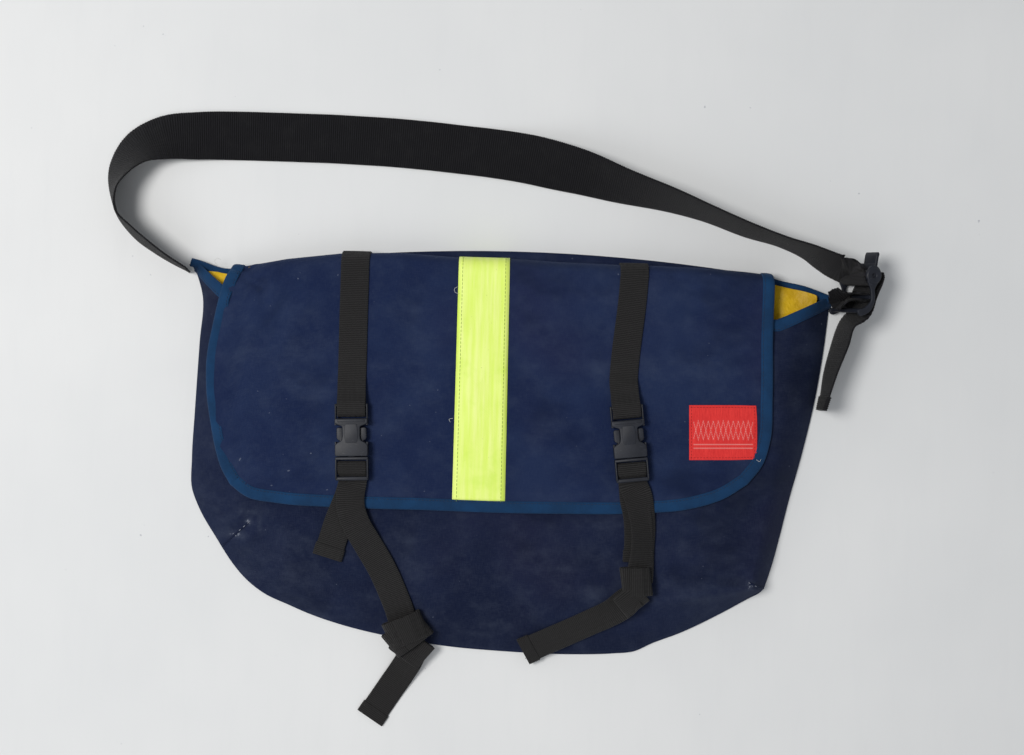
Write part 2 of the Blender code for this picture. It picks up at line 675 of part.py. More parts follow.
TAIL_ROUTE = [
    ((0.3000, 0.1220, 0.0226), (-0.24, 0.10, 0.95)),
    ((0.2945, 0.1080, 0.0220), (-0.28, 0.10, 0.93)),
    ((0.2865, 0.0920, 0.0224), (-0.26, 0.08, 0.95)),
    ((0.2810, 0.0700, 0.0226), (-0.18, 0.06, 0.96)),
    ((0.2780, 0.0520, 0.0226), (-0.14, 0.04, 0.97)),
]

# Webbing from the bag's right ear to the buckle's foot bar.
CAM_ANCHOR_ROUTE = [
    ((0.2920, 0.1470, 0.0225), (0.20, 0.00, 0.98)),
    ((0.2965, 0.1485, 0.0235), (0.26, -0.03, 0.96)),
    ((0.3020, 0.1495, 0.0245), (0.30, -0.06, 0.95)),
]


def build_shoulder_strap():
    lengths_of_webbing = [("shoulder_strap", SHOULDER_ROUTE, SHOULDER_WEBBING),
                          ("strap_buckle_end", BUCKLE_END_ROUTE, SHOULDER_WEBBING),
                          ("shoulder_strap_tail", TAIL_ROUTE, SHOULDER_WEBBING),
                          ("cam_anchor_webbing", CAM_ANCHOR_ROUTE, CAM_ANCHOR_WEBBING)]
    for name, route, width in lengths_of_webbing:
        ribbon(name, "shoulder_webbing", stations_of(route), width, SHOULDER_THICKNESS, 2)


def cam_matrix():
    """The buckle's frame: Z along its bars, Y from its foot towards the strap."""
    z_axis = CAM_BARS.normalized()
    y_axis = (CAM_LENGTHWISE - z_axis * z_axis.dot(CAM_LENGTHWISE)).normalized()
    x_axis = y_axis.cross(z_axis)
    turn = Matrix((x_axis, y_axis, z_axis)).transposed().to_4x4()
    return Matrix.Translation(CAM_PIVOT) @ turn


# Outline of a cheek plate, in the buckle's frame.
CHEEK = [(-0.0065, 0.004), (-0.0035, 0.0085), (0.0035, 0.0085), (0.0065, 0.003), (0.0062, -0.004),
         (0.0035, -0.012), (0.0035, -0.024), (-0.004, -0.033), (-0.012, -0.036),
         (-0.014, -0.031), (-0.006, -0.026), (-0.0035, -0.016), (-0.0055, -0.006)]


def cheek(name, low):
    """A cheek plate as a mesh, so that Booleans can join it."""
    flat = outline_object(name + "_outline", CHEEK, CHEEK_THICKNESS)
    bpy.context.view_layer.update()
    graph = bpy.context.evaluated_depsgraph_get()
    source = bpy.data.meshes.new_from_object(flat.evaluated_get(graph))
    bpy.data.objects.remove(flat, do_unlink=True)

    def build(bm):
        bm.from_mesh(source)
        bmesh.ops.remove_doubles(bm, verts=bm.verts, dist=0.00001)
        bmesh.ops.translate(bm, vec=(0, 0, low + CHEEK_THICKNESS / 2), verts=bm.verts)
        bmesh.ops.recalc_face_normals(bm, faces=bm.faces)

    return mesh_object(name, build)


def bore(name):
    """A cutter that leaves running clearance round the pin."""
    return rod(name, CAM_PIN + GAP, [(0, 0, -CHEEK_SPACING), (0, 0, CHEEK_SPACING)], 16)


def build_cam_buckle():
    parent = frame_empty("cam_frame", cam_matrix())
    half = CHEEK_SPACING / 2
    outside = half + CHEEK_THICKNESS
    frame = cheek("cam_buckle_frame", half)
    frame.parent = parent
    reach = half + CHEEK_THICKNESS / 2
    bars = [rod(f"bar_{i}", radius, [(x, y, -reach), (x, y, reach)], 8)
            for i, (x, y, radius) in enumerate(CAM_FRAME_BARS)]
    combine(frame, [cheek("cheek_low", -outside)] + bars, "UNION")
    combine(frame, [bore("pin_hole")], "DIFFERENCE")
    finish(frame, "plastic")
    pin = rod("cam_pin", CAM_PIN, [(0, 0, -outside), (0, 0, outside)], 16)
    pin.parent = parent
    finish(pin, "plastic")


def build_cam_lever():
    """The toothed barrel that pinches the webbing, with its thumb plate."""
    clear = CHEEK_SPACING / 2 - GAP
    lever = rod("cam_lever", CAM_BARREL, [(0, 0, -clear), (0, 0, clear)], 16)
    lever.parent = frame_empty("cam_lever_frame", cam_matrix())
    low, high = CAM_THUMB
    combine(lever, [box("cam_thumb", (*low, -clear), (*high, clear), 0.0008)], "UNION")
    combine(lever, [bore("lever_bore")], "DIFFERENCE")
    finish(lever, "plastic")


clear_scene()
BAG = new_collection("messenger_bag")
HELPERS = new_collection("cutters_and_joined_shapes")
build_body()
build_bindings()
build_lining()
build_flap()
for buckle_side in BUCKLES:
    build_socket(buckle_side)
    build_plug(buckle_side)
    build_flap_strap(buckle_side)
    build_tail(buckle_side)
build_shoulder_strap()
build_cam_buckle()
build_cam_lever()
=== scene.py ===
import math

import bmesh
import bpy
import numpy as np
from mathutils import Matrix, Vector
from mathutils.bvhtree import BVHTree


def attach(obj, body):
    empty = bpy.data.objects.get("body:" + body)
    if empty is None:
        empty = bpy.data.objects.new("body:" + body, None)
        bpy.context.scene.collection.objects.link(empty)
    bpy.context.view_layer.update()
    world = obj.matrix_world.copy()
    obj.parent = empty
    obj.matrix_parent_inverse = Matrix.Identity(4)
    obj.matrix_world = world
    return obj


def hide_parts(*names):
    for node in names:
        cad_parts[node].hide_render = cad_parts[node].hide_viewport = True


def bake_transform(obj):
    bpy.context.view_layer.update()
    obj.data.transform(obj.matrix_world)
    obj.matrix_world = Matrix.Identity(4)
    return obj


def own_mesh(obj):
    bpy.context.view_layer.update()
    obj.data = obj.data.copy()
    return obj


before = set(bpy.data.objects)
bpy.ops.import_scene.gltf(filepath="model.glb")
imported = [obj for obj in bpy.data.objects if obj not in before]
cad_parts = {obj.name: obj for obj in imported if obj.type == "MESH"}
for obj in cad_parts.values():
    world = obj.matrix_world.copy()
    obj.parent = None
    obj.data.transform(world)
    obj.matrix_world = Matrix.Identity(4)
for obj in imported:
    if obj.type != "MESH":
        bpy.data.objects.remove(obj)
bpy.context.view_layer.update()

# ------------------------------------------------------------------ sizes, in metres
HINGE = (0.0, 0.170, 0.0275)
FOLD_FLOOR = 0.0022
FOLD_CURVE = 0.0110
FLAP_TOP = 0.0330
FRONT_TOP = 0.0292
FOOT_Z = 0.0012
CLOTH = 0.0011
MOUTH_DROP = 0.0032
WEBBING = 0.025
WEBBING_THICK = 0.0016
SHOULDER = 0.044
SHOULDER_THICK = 0.0018
CAM_ANCHOR = 0.037
BUCKLE_Z = 0.0388
RIB_PITCH = 0.0016
SHOULDER_RIB_PITCH = 0.0019
LINER = 0.0004

# Plan outlines, from the ears down to the bottom corners.
LEFT_EDGE = [(-0.2885, 0.1705), (-0.279, 0.135), (-0.281, 0.097), (-0.284, 0.030),
             (-0.2855, -0.010), (-0.2845, -0.038), (-0.2795, -0.051), (-0.2568, -0.0889)]
RIGHT_EDGE = [(0.2876, 0.1505), (0.281, 0.090), (0.274, 0.047), (0.264, 0.002),
              (0.2545, -0.035), (0.2478, -0.0645), (0.2400, -0.0960), (0.2341, -0.1149)]
BOTTOM_EDGE = [(-0.2568, -0.0889), (-0.2485, -0.1010), (-0.2334, -0.1182), (-0.2176, -0.1300),
               (-0.1949, -0.1400), (-0.1757, -0.1478), (-0.1459, -0.1571), (-0.1076, -0.1656),
               (-0.055, -0.1735), (0.000, -0.1772), (0.060, -0.1785), (0.0990, -0.1768),
               (0.1174, -0.1746), (0.1343, -0.1667), (0.1583, -0.1572), (0.1966, -0.1377),
               (0.2221, -0.1232), (0.2300, -0.1190), (0.2341, -0.1149)]
BACK_TOP = [(-0.2885, 0.1705), (-0.279, 0.1680), (-0.268, 0.1640), (-0.257, 0.1618),
            (-0.246, 0.1632), (-0.234, 0.166), (-0.200, 0.171), (0.200, 0.171), (0.229, 0.167),
            (0.241, 0.1635), (0.264, 0.1585), (0.2876, 0.1505)]
FRONT_LEFT = [(-0.252, 0.142), (-0.250, 0.040), (-0.2245, -0.0635)]
FRONT_RIGHT = [(0.236, 0.1270), (0.236, 0.020), (0.217, -0.111)]
FRONT_BOTTOM = [(-0.2245, -0.0635), (-0.156, -0.082), (-0.093, -0.094), (-0.022, -0.0985),
                (0.048, -0.0975), (0.119, -0.102), (0.173, -0.108), (0.217, -0.111)]
MOUTH_EDGE = [(-0.252, 0.142), (-0.120, 0.1365), (0.0, 0.133), (0.120, 0.130), (0.236, 0.127)]

# The flap: how far out its fold reaches behind each x, and its three free edges.
FOLD_REACH = [(-0.2425, 0.1630), (-0.232, 0.1650), (-0.221, 0.1670), (-0.201, 0.1710),
              (-0.153, 0.1770), (-0.100, 0.1790), (-0.051, 0.1760), (-0.002, 0.1760),
              (0.042, 0.1740), (0.091, 0.1730), (0.121, 0.1730), (0.166, 0.1720),
              (0.210, 0.1690), (0.2325, 0.1665)]
FLAP_LEFT = [(-0.2545, 0.153), (-0.2568, 0.1440), (-0.2596, 0.1340), (-0.2625, 0.1200),
             (-0.2652, 0.1057), (-0.2680, 0.0900), (-0.2692, 0.0780), (-0.2692, 0.0660),
             (-0.2683, 0.0500), (-0.2645, 0.0250), (-0.2595, 0.0020), (-0.2530, -0.0160),
             (-0.2445, -0.0300)]
FLAP_BOTTOM = [(-0.2445, -0.030), (-0.2300, -0.0405), (-0.2040, -0.0453), (-0.1560, -0.0478),
               (-0.0760, -0.0484), (-0.0060, -0.0493), (0.0470, -0.0489), (0.1180, -0.0468),
               (0.1620, -0.0418), (0.1920, -0.0318), (0.2120, -0.0188)]
FLAP_RIGHT = [(0.2320, 0.157), (0.2315, 0.118), (0.2322, 0.056), (0.2312, 0.021),
              (0.2248, -0.0015), (0.2120, -0.0188)]


# ------------------------------------------------------------------ curves and noise

def resample(path, count):
    """The same path with count points, evenly spaced by its first three (or two) columns."""
    steps = np.linalg.norm(np.diff(path[:, :3], axis=0), axis=1)
    along = np.concatenate([[0.0], np.cumsum(steps)])
    goals = np.linspace(0.0, along[-1], count)
    return np.column_stack([np.interp(goals, along, column) for column in path.T])


def dense(points, per_span=16):
    """A smooth curve through the points, of any dimension. It doesn't overshoot uneven gaps."""
    knots = np.array(points, float)
    gaps = np.linalg.norm(np.diff(knots[:, :3], axis=0), axis=1)[:, None]
    slopes = np.diff(knots, axis=0) / gaps
    inner = (slopes[:-1] * gaps[1:] + slopes[1:] * gaps[:-1]) / (gaps[:-1] + gaps[1:])
    tangents = np.vstack([slopes[:1], inner, slopes[-1:]])
    t = np.linspace(0, 1, per_span, endpoint=False)[:, None]
    parts = []
    for p, q, m, n, gap in zip(knots, knots[1:], tangents, tangents[1:], gaps):
        ends = (2 * t ** 3 - 3 * t ** 2 + 1) * p + (3 * t ** 2 - 2 * t ** 3) * q
        parts.append(ends + gap * ((t ** 3 - 2 * t ** 2 + t) * m + (t ** 3 - t ** 2) * n))
    return np.vstack(parts + [knots[-1:]])


def curve(points, count):
    return resample(dense(points), count)


def path_length(path):
    return np.linalg.norm(np.diff(path[:, :3], axis=0), axis=1).sum()


def coons(top, bottom, left, right):
    """A grid inside four edges. top and bottom run left to right, left and right run down."""
    u = np.linspace(0, 1, len(top))[None, :, None]
    v = np.linspace(0, 1, len(left))[:, None, None]
    ruled_down = (1 - v) * top[None] + v * bottom[None]
    ruled_across = (1 - u) * left[:, None] + u * right[:, None]
    corners = (1 - u) * (1 - v) * top[0] + u * (1 - v) * top[-1]
    corners = corners + (1 - u) * v * bottom[0] + u * v * bottom[-1]
    return ruled_down + ruled_across - corners


def soft_noise(x, y, size, seed):
    """Smooth noise from -1 to 1 whose bumps are about size apart."""
    table = np.random.RandomState(seed).uniform(-1, 1, (64, 64))
    gx, gy = np.asarray(x) / size + 640.37, np.asarray(y) / size + 640.71
    ix, iy = np.floor(gx).astype(int), np.floor(gy).astype(int)
    fx, fy = gx - ix, gy - iy
    fx, fy = fx * fx * (3 - 2 * fx), fy * fy * (3 - 2 * fy)
    a, b = table[ix % 64, iy % 64], table[(ix + 1) % 64, iy % 64]
    c, d = table[ix % 64, (iy + 1) % 64], table[(ix + 1) % 64, (iy + 1) % 64]
    return (a * (1 - fx) + b * fx) * (1 - fy) + (c * (1 - fx) + d * fx) * fy


def fold_lines(x, y, folds):
    """Height added by soft folds. Each is (start, end, width, height)."""
    total = np.zeros_like(x)
    for (ax, ay), (bx, by), width, height in folds:
        dx, dy = bx - ax, by - ay
        length = math.hypot(dx, dy)
        along = ((x - ax) * dx + (y - ay) * dy) / length ** 2
        aside = ((x - ax) * dy - (y - ay) * dx) / length
        ends = np.clip(np.minimum(along, 1 - along) * 3 + 0.6, 0, 1)
        total += height * np.exp(-(aside / width) ** 2) * ends * ends * (3 - 2 * ends)
    return total


def smoothstep(x, low, high):
    t = np.clip((x - low) / (high - low), 0, 1)
    return t * t * (3 - 2 * t)


# ------------------------------------------------------------------ meshes

def grid_faces(rows, cols, start=0):
    index = np.arange(start, start + rows * cols).reshape(rows, cols)
    quads = np.stack([index[:-1, :-1], index[1:, :-1], index[1:, 1:], index[:-1, 1:]], axis=-1)
    return [tuple(int(i) for i in quad) for quad in quads.reshape(-1, 4)]


def ring_faces(rings, count, start=0):
    """Quads between closed rings of count points each, and a cap at each end."""
    index = np.arange(start, start + rings * count).reshape(rings, count)
    beside = np.roll(index, -1, axis=1)
    quads = np.stack([index[:-1], beside[:-1], beside[1:], index[1:]], axis=-1)
    faces = [tuple(int(i) for i in quad) for quad in quads.reshape(-1, 4)]
    return faces + [tuple(int(i) for i in cap) for cap in (index[0, ::-1], index[-1])]


def mesh_object(name, points, faces, uv, material, wear=None):
    """A mesh with a metric UV map named cloth and, if given, a wear value at each point."""
    mesh = bpy.data.meshes.new(name)
    mesh.from_pydata([tuple(p) for p in np.asarray(points, float)], [], faces)
    layer = mesh.uv_layers.new(name="cloth")
    loops = np.empty(len(mesh.loops), np.int32)
    mesh.loops.foreach_get("vertex_index", loops)
    layer.data.foreach_set("uv", np.asarray(uv, np.float32)[loops].ravel())
    attribute = mesh.attributes.new("wear", "FLOAT", "POINT")
    values = np.zeros(len(points)) if wear is None else wear
    attribute.data.foreach_set("value", np.asarray(values, np.float32).ravel())
    mesh.shade_smooth()
    mesh.materials.append(material)
    obj = bpy.data.objects.new(name, mesh)
    bpy.context.scene.collection.objects.link(obj)
    return obj


def grid_object(name, grid, uv, material, wear=None):
    rows, cols = grid.shape[:2]
    wear = None if wear is None else wear.reshape(-1)
    return mesh_object(name, grid.reshape(-1, 3), grid_faces(rows, cols), uv.reshape(-1, 2),
                       material, wear)


def thicken(obj, thickness, offset=-1.0):
    solidify = obj.modifiers.new("thickness", "SOLIDIFY")
    solidify.thickness = thickness
    solidify.offset = offset
    return obj


def refine(obj, levels=1):
    subdivide = obj.modifiers.new("refine", "SUBSURF")
    subdivide.levels = levels
    subdivide.render_levels = levels
    return obj


def grid_normals(grid):
    down, across = np.gradient(grid, axis=0), np.gradient(grid, axis=1)
    normals = np.cross(down, across)
    return normals / np.linalg.norm(normals, axis=-1, keepdims=True)


def unit(vectors):
    return vectors / np.linalg.norm(vectors, axis=-1, keepdims=True)


def section_sweep(name, centres, across, normals, section, material):
    """Sweeps a section of (aside, height) points along a path. UVs are (aside, along)."""
    section = np.array(section)
    count = len(section)
    rings = (centres[:, None] + across[:, None] * section[None, :, :1]
             + normals[:, None] * section[None, :, 1:2])
    steps = np.linalg.norm(np.diff(centres, axis=0), axis=1)
    along = np.concatenate([[0.0], np.cumsum(steps)])
    uv = np.stack([np.broadcast_to(section[None, :, 0], rings.shape[:2]),
                   np.broadcast_to(along[:, None], rings.shape[:2])], axis=-1)
    swept = mesh_object(name, rings.reshape(-1, 3), ring_faces(len(centres), count),
                        uv.reshape(-1, 2), material)
    face_outwards(swept)
    return swept


def face_outwards(obj):
    bm = bmesh.new()
    bm.from_mesh(obj.data)
    bmesh.ops.recalc_face_normals(bm, faces=bm.faces)
    bm.to_mesh(obj.data)
    bm.free()


def join(name, objects):
    """One object from several, with its own mesh."""
    bm = bmesh.new()
    materials = []
    for obj in objects:
        for slot in obj.data.materials:
            if slot not in materials:
                materials.append(slot)
    graph = bpy.context.evaluated_depsgraph_get()
    for obj in objects:
        mesh = bpy.data.meshes.new_from_object(obj.evaluated_get(graph))
        mesh.transform(obj.matrix_world)
        start = len(bm.faces)
        bm.from_mesh(mesh)
        bm.faces.ensure_lookup_table()
        for face in bm.faces[start:]:
            face.material_index = materials.index(mesh.materials[face.material_index])
        bpy.data.meshes.remove(mesh)
    joined = bpy.data.meshes.new(name)
    bm.to_mesh(joined)
    bm.free()
    for obj in objects:
        bpy.data.objects.remove(obj, do_unlink=True)
    for material in materials:
        joined.materials.append(material)
    whole = bpy.data.objects.new(name, joined)
    bpy.context.scene.collection.objects.link(whole)
    return whole


# ------------------------------------------------------------------ bodies

def rides_on(body):
    return lambda obj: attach(obj, body)


def over_hinge(obj):
    """For a piece between the bag and the flap, round the fold: bakes its placement into its mesh.
    """
    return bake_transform(obj)


def with_strap(obj):
    """For a piece between the bag and the swinging strap, behind the fold: bakes its placement into
    its mesh.
    """
    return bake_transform(obj)


def assign(obj, bodies, slot, *nodes):
    """Gives a piece the bodies it moves with, through bodies(obj), and hides the CAD nodes it stands
    for. slot is not used.
    """
    bodies(obj)
    if nodes:
        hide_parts(*nodes)


# ------------------------------------------------------------------ shader helpers

class Shader:
    """A Principled material and short ways to add nodes to it."""

    def __init__(self, name, roughness, specular=0.5, sheen=0.0, sheen_tint=(1, 1, 1)):
        self.material = bpy.data.materials.new(name)
        self.material.use_nodes = True
        self.tree = self.material.node_tree
        self.surface = self.tree.nodes["Principled BSDF"]
        self.surface.inputs["Roughness"].default_value = roughness
        self.surface.inputs["Specular IOR Level"].default_value = specular
        self.surface.inputs["Sheen Weight"].default_value = sheen
        self.surface.inputs["Sheen Roughness"].default_value = 0.5
        self.surface.inputs["Sheen Tint"].default_value = (*sheen_tint, 1.0)

    def node(self, kind, inputs=None, **settings):
        made = self.tree.nodes.new(kind)
        for key, value in settings.items():
            setattr(made, key, value)
        for key, value in (inputs or {}).items():
            self.put(made.inputs[key], value)
        return made

    def put(self, socket, value):
        if isinstance(value, bpy.types.NodeSocket):
            self.tree.links.new(value, socket)
        elif isinstance(value, tuple) and len(value) == 3 and socket.type == "RGBA":
            socket.default_value = (*value, 1.0)
        else:
            socket.default_value = value

    def math(self, operation, a, b=0.0, clamp=False):
        made = self.node("ShaderNodeMath", {0: a, 1: b}, operation=operation)
        made.use_clamp = clamp
        return made.outputs[0]

    def mix(self, factor, a, b):
        made = self.node("ShaderNodeMix", data_type="RGBA")
        self.put(made.inputs["Factor"], factor)
        self.put(made.inputs[6], a)
        self.put(made.inputs[7], b)
        return made.outputs[2]

    def uv(self):
        """The metric UV map: (vector, across, along)."""
        vector = self.node("ShaderNodeUVMap", uv_map="cloth").outputs[0]
        parts = self.node("ShaderNodeSeparateXYZ", {0: vector})
        return vector, parts.outputs[0], parts.outputs[1]

    def position(self):
        return self.node("ShaderNodeTexCoord").outputs["Object"]

    def stretch(self, vector, scale):
        return self.node("ShaderNodeMapping", {"Vector": vector, "Scale": scale}).outputs[0]

    def noise(self, vector, scale, detail=4.0, roughness=0.55):
        return self.node("ShaderNodeTexNoise", {"Vector": vector, "Scale": scale, "Detail": detail,
                                                "Roughness": roughness}).outputs[0]

    def ramp(self, value, low, high):
        """0 below low, 1 above high."""
        made = self.node("ShaderNodeMapRange", {"Value": value, "From Min": low, "From Max": high},
                         interpolation_type="SMOOTHSTEP")
        return made.outputs[0]

    def patches(self, vector, scale, detail, roughness, low, high):
        """Noise that is 0 below low and 1 above high."""
        return self.ramp(self.noise(vector, scale, detail, roughness), low, high)

    def scaled(self, value, factor):
        return self.math("MULTIPLY", value, factor)

    def stain(self, colour, amount, strength, other):
        """Mixes another colour in where amount is high."""
        return self.mix(self.scaled(amount, strength), colour, other)

    def wave(self, value, pitch):
        """A sine from -1 to 1 that repeats every pitch metres."""
        return self.math("SINE", self.scaled(value, 2 * math.pi / pitch))

    def wear(self):
        return self.node("ShaderNodeAttribute", attribute_name="wear").outputs["Fac"]

    def bump(self, height, distance, strength=1.0, under=None):
        made = self.node("ShaderNodeBump", {"Height": height, "Distance": distance,
                                            "Strength": strength})
        if under is not None:
            self.put(made.inputs["Normal"], under)
        self.put(self.surface.inputs["Normal"], made.outputs[0])
        return made.outputs[0]

    def colour(self, value):
        self.put(self.surface.inputs["Base Color"], value)

    def roughness(self, value):
        self.put(self.surface.inputs["Roughness"], value)


def weave_height(s, across, along, pitch):
    """Plain weave: threads that pass over and under each other."""
    over = s.math("MULTIPLY", s.wave(across, 2 * pitch), s.wave(along, 2 * pitch))
    warp = s.scaled(s.wave(across, pitch), 0.35)
    weft = s.scaled(s.wave(along, pitch), 0.35)
    return s.math("ADD", over, s.math("ADD", warp, weft))


def dyed_canvas(s, vector, dark, light, tint, faded):
    """Mottled dye under chalky fading, darker patches and lint."""
    colour = s.mix(s.patches(vector, 9.0, 5.0, 0.6, 0.40, 0.60), dark, light)
    colour = s.stain(colour, s.patches(vector, 5.5, 2.0, 0.5, 0.52, 0.74), 0.55, tint)
    warp_streak = s.noise(s.stretch(vector, (1500.0, 160.0, 1.0)), 1.0, 3.0, 0.7)
    weft_streak = s.noise(s.stretch(vector, (160.0, 1500.0, 1.0)), 1.0, 3.0, 0.7)
    streak = s.ramp(s.math("MULTIPLY", warp_streak, weft_streak), 0.16, 0.42)
    colour = s.stain(colour, streak, 0.13, faded)
    chalk = s.patches(s.stretch(vector, (14.0, 22.0, 1.0)), 1.0, 6.0, 0.7, 0.48, 0.80)
    colour = s.stain(colour, chalk, 0.30, faded)
    colour = s.stain(colour, s.patches(vector, 31.0, 6.0, 0.72, 0.44, 0.74), 0.16, faded)
    deep = s.patches(s.stretch(vector, (7.0, 12.0, 1.0)), 1.0, 4.0, 0.6, 0.50, 0.72)
    colour = s.stain(colour, deep, 0.60, tuple(0.55 * part for part in dark))
    lint = s.patches(vector, 210.0, 1.0, 0.5, 0.775, 0.80)
    return s.stain(colour, lint, 0.45, (0.16, 0.18, 0.24))


def worn_canvas(s, vector, colour, faded):
    """The dye faded where wear is high, and scuffed grey where it is highest."""
    grain = s.patches(vector, 420.0, 3.0, 0.7, 0.45, 0.75)
    worn = s.math("MULTIPLY", s.wear(), s.math("ADD", s.scaled(grain, 0.6), 0.4))
    rub = s.patches(vector, 34.0, 6.0, 0.75, 0.60, 0.80)
    worn = s.math("ADD", worn, s.scaled(rub, 0.05), clamp=True)
    colour = s.mix(worn, colour, faded)
    scuffed = s.ramp(s.math("MULTIPLY", s.wear(), s.math("ADD", grain, 0.7)), 0.48, 1.0)
    return s.stain(colour, scuffed, 0.75, (0.30, 0.32, 0.38))


def canvas_material(name, dark, light, tint, faded):
    """Worn cotton canvas: mottled dye, threads, fading along edges and chalky rubs."""
    s = Shader(name, 0.92, specular=0.08, sheen=0.06, sheen_tint=(0.40, 0.55, 0.95))
    vector, across, along = s.uv()
    s.colour(worn_canvas(s, vector, dyed_canvas(s, vector, dark, light, tint, faded), faded))
    slub = s.scaled(s.noise(vector, 260.0, 3.0, 0.7), 1.6)
    height = s.math("ADD", weave_height(s, across, along, 0.00085), slub)
    fine = s.bump(height, 0.00016, 0.55)
    s.bump(s.noise(vector, 70.0, 3.0, 0.5), 0.0009, 0.35, fine)
    return s.material


def webbing_material(name, colour, pitch, shine):
    """Woven webbing: ribs across the tape and a herringbone of fine threads, with painted light and
    shade on the ribs.
    """
    s = Shader(name, 0.62, specular=shine, sheen=0.06)
    vector, across, along = s.uv()
    sawtooth = s.math("FRACT", s.scaled(across, 1 / 0.0048))
    zigzag = s.math("ABSOLUTE", s.math("SUBTRACT", sawtooth, 0.5))
    threads = s.wave(s.math("ADD", along, s.scaled(zigzag, 0.0052)), pitch * 0.62)
    ribs = s.wave(along, pitch)
    height = s.math("ADD", s.scaled(threads, 0.5), s.scaled(s.wave(across, 0.0011), 0.35))
    height = s.math("ADD", height, s.scaled(ribs, 0.7))
    height = s.math("ADD", height, s.noise(vector, 800.0, 3.0, 0.7))
    # Painted highlight on the raised ribs and threads, painted shade in the grooves between them.
    lit = s.ramp(s.math("ADD", height, ribs), -0.9, 2.4)
    shade = s.mix(lit, tuple(0.38 * c for c in colour), tuple(1.75 * c for c in colour))
    dusty = s.patches(vector, 55.0, 5.0, 0.7, 0.45, 0.80)
    s.colour(s.stain(shade, dusty, 0.45, tuple(0.55 * c + 0.012 for c in colour)))
    s.bump(height, 0.00022, 0.8)
    return s.material


def binding_material(name):
    """Blue twill tape in two depths of dye, paler on its raised threads as a painted highlight."""
    s = Shader(name, 0.78, specular=0.18, sheen=0.10, sheen_tint=(0.4, 0.6, 1.0))
    vector, across, along = s.uv()
    slant = s.wave(s.math("ADD", along, across), 0.0011)
    height = s.math("ADD", slant, s.scaled(s.wave(across, 0.0008), 0.4))
    height = s.math("ADD", height, s.noise(vector, 600.0, 3.0, 0.7))
    dye = s.patches(vector, 28.0, 5.0, 0.65, 0.35, 0.70)
    colour = s.mix(dye, (0.0026, 0.020, 0.062), (0.0042, 0.038, 0.112))
    # Painted highlight: the raised threads are made paler.
    s.colour(s.mix(s.ramp(height, 0.0, 2.0), colour, (0.008, 0.048, 0.125)))
    s.bump(height, 0.00014, 0.6)
    return s.material


def lining_material(name):
    """Coated liner: yellow, crinkled, slightly shiny, its yellows darkened as painted shade inside
    the bag.
    """
    s = Shader(name, 0.48, specular=0.35)
    vector, across, along = s.uv()
    # Both yellows are darkened as painted shade inside the bag; the soiled patches mix between them.
    soiled = s.patches(vector, 18.0, 4.0, 0.6, 0.40, 0.75)
    s.colour(s.mix(soiled, (0.760, 0.480, 0.007), (0.470, 0.270, 0.004)))
    fine = s.bump(weave_height(s, across, along, 0.0006), 0.00004, 0.5)
    s.bump(s.noise(vector, 42.0, 6.0, 0.6), 0.0040, 0.9, fine)
    return s.material


def strip_material(name):
    """Fluorescent tape: streaked along its length, soiled and pressed by use."""
    s = Shader(name, 0.42, specular=0.30)
    vector, across, along = s.uv()
    streaks = s.noise(s.stretch(vector, (160.0, 9.0, 1.0)), 1.0, 5.0, 0.65)
    colour = s.mix(s.ramp(streaks, 0.30, 0.72), (0.700, 0.900, 0.120), (0.850, 0.950, 0.300))
    clouds = s.patches(vector, 26.0, 4.0, 0.6, 0.50, 0.72)
    colour = s.stain(colour, clouds, 0.6, (0.600, 0.840, 0.080))
    specks = s.patches(vector, 380.0, 2.0, 0.5, 0.735, 0.77)
    s.colour(s.stain(colour, specks, 0.5, (0.20, 0.24, 0.06)))
    fine = s.bump(weave_height(s, across, along, 0.0007), 0.00005, 0.5)
    s.bump(streaks, 0.0011, 0.35, fine)
    return s.material


def patch_material(name):
    """Red woven patch: satin threads, with pink threads where wear is high."""
    s = Shader(name, 0.66, specular=0.25, sheen=0.12, sheen_tint=(1.0, 0.6, 0.6))
    vector, _, along = s.uv()
    threads = s.noise(s.stretch(vector, (1500.0, 90.0, 1.0)), 1.0, 3.0, 0.7)
    colour = s.mix(s.ramp(threads, 0.30, 0.75), (0.640, 0.022, 0.022), (0.860, 0.046, 0.040))
    shade = s.patches(vector, 60.0, 3.0, 0.5, 0.5, 0.75)
    colour = s.stain(colour, shade, 0.4, (0.520, 0.014, 0.018))
    s.colour(s.mix(s.wear(), colour, (0.800, 0.330, 0.300)))
    s.bump(s.math("ADD", s.wave(along, 0.0007), s.scaled(threads, 2.0)), 0.00012, 0.6)
    return s.material


def thread_material(name, colour):
    s = Shader(name, 0.6, specular=0.25, sheen=0.1)
    fibre = s.noise(s.position(), 2600.0, 2.0, 0.6)
    lit = tuple(min(1.0, 1.25 * c) for c in colour)
    s.colour(s.mix(fibre, tuple(0.6 * c for c in colour), lit))
    s.bump(fibre, 0.0001, 0.5)
    return s.material


def plastic_material(name, colour, roughness):
    """Moulded acetal: fine spark texture with a few light scratches."""
    s = Shader(name, roughness, specular=0.34)
    vector = s.position()
    broad = s.noise(vector, 90.0, 4.0, 0.6)
    shade = s.mix(s.ramp(broad, 0.3, 0.75), tuple(0.85 * c for c in colour),
                  tuple(1.25 * c for c in colour))
    scratch = s.patches(s.stretch(vector, (220.0, 1400.0, 900.0)), 1.0, 2.0, 0.6, 0.66, 0.74)
    s.colour(s.stain(shade, scratch, 0.35, (0.11, 0.115, 0.13)))
    s.roughness(s.math("ADD", s.scaled(broad, 0.18), roughness - 0.09))
    s.bump(s.noise(vector, 1900.0, 3.0, 0.6), 0.00006, 0.45)
    return s.material


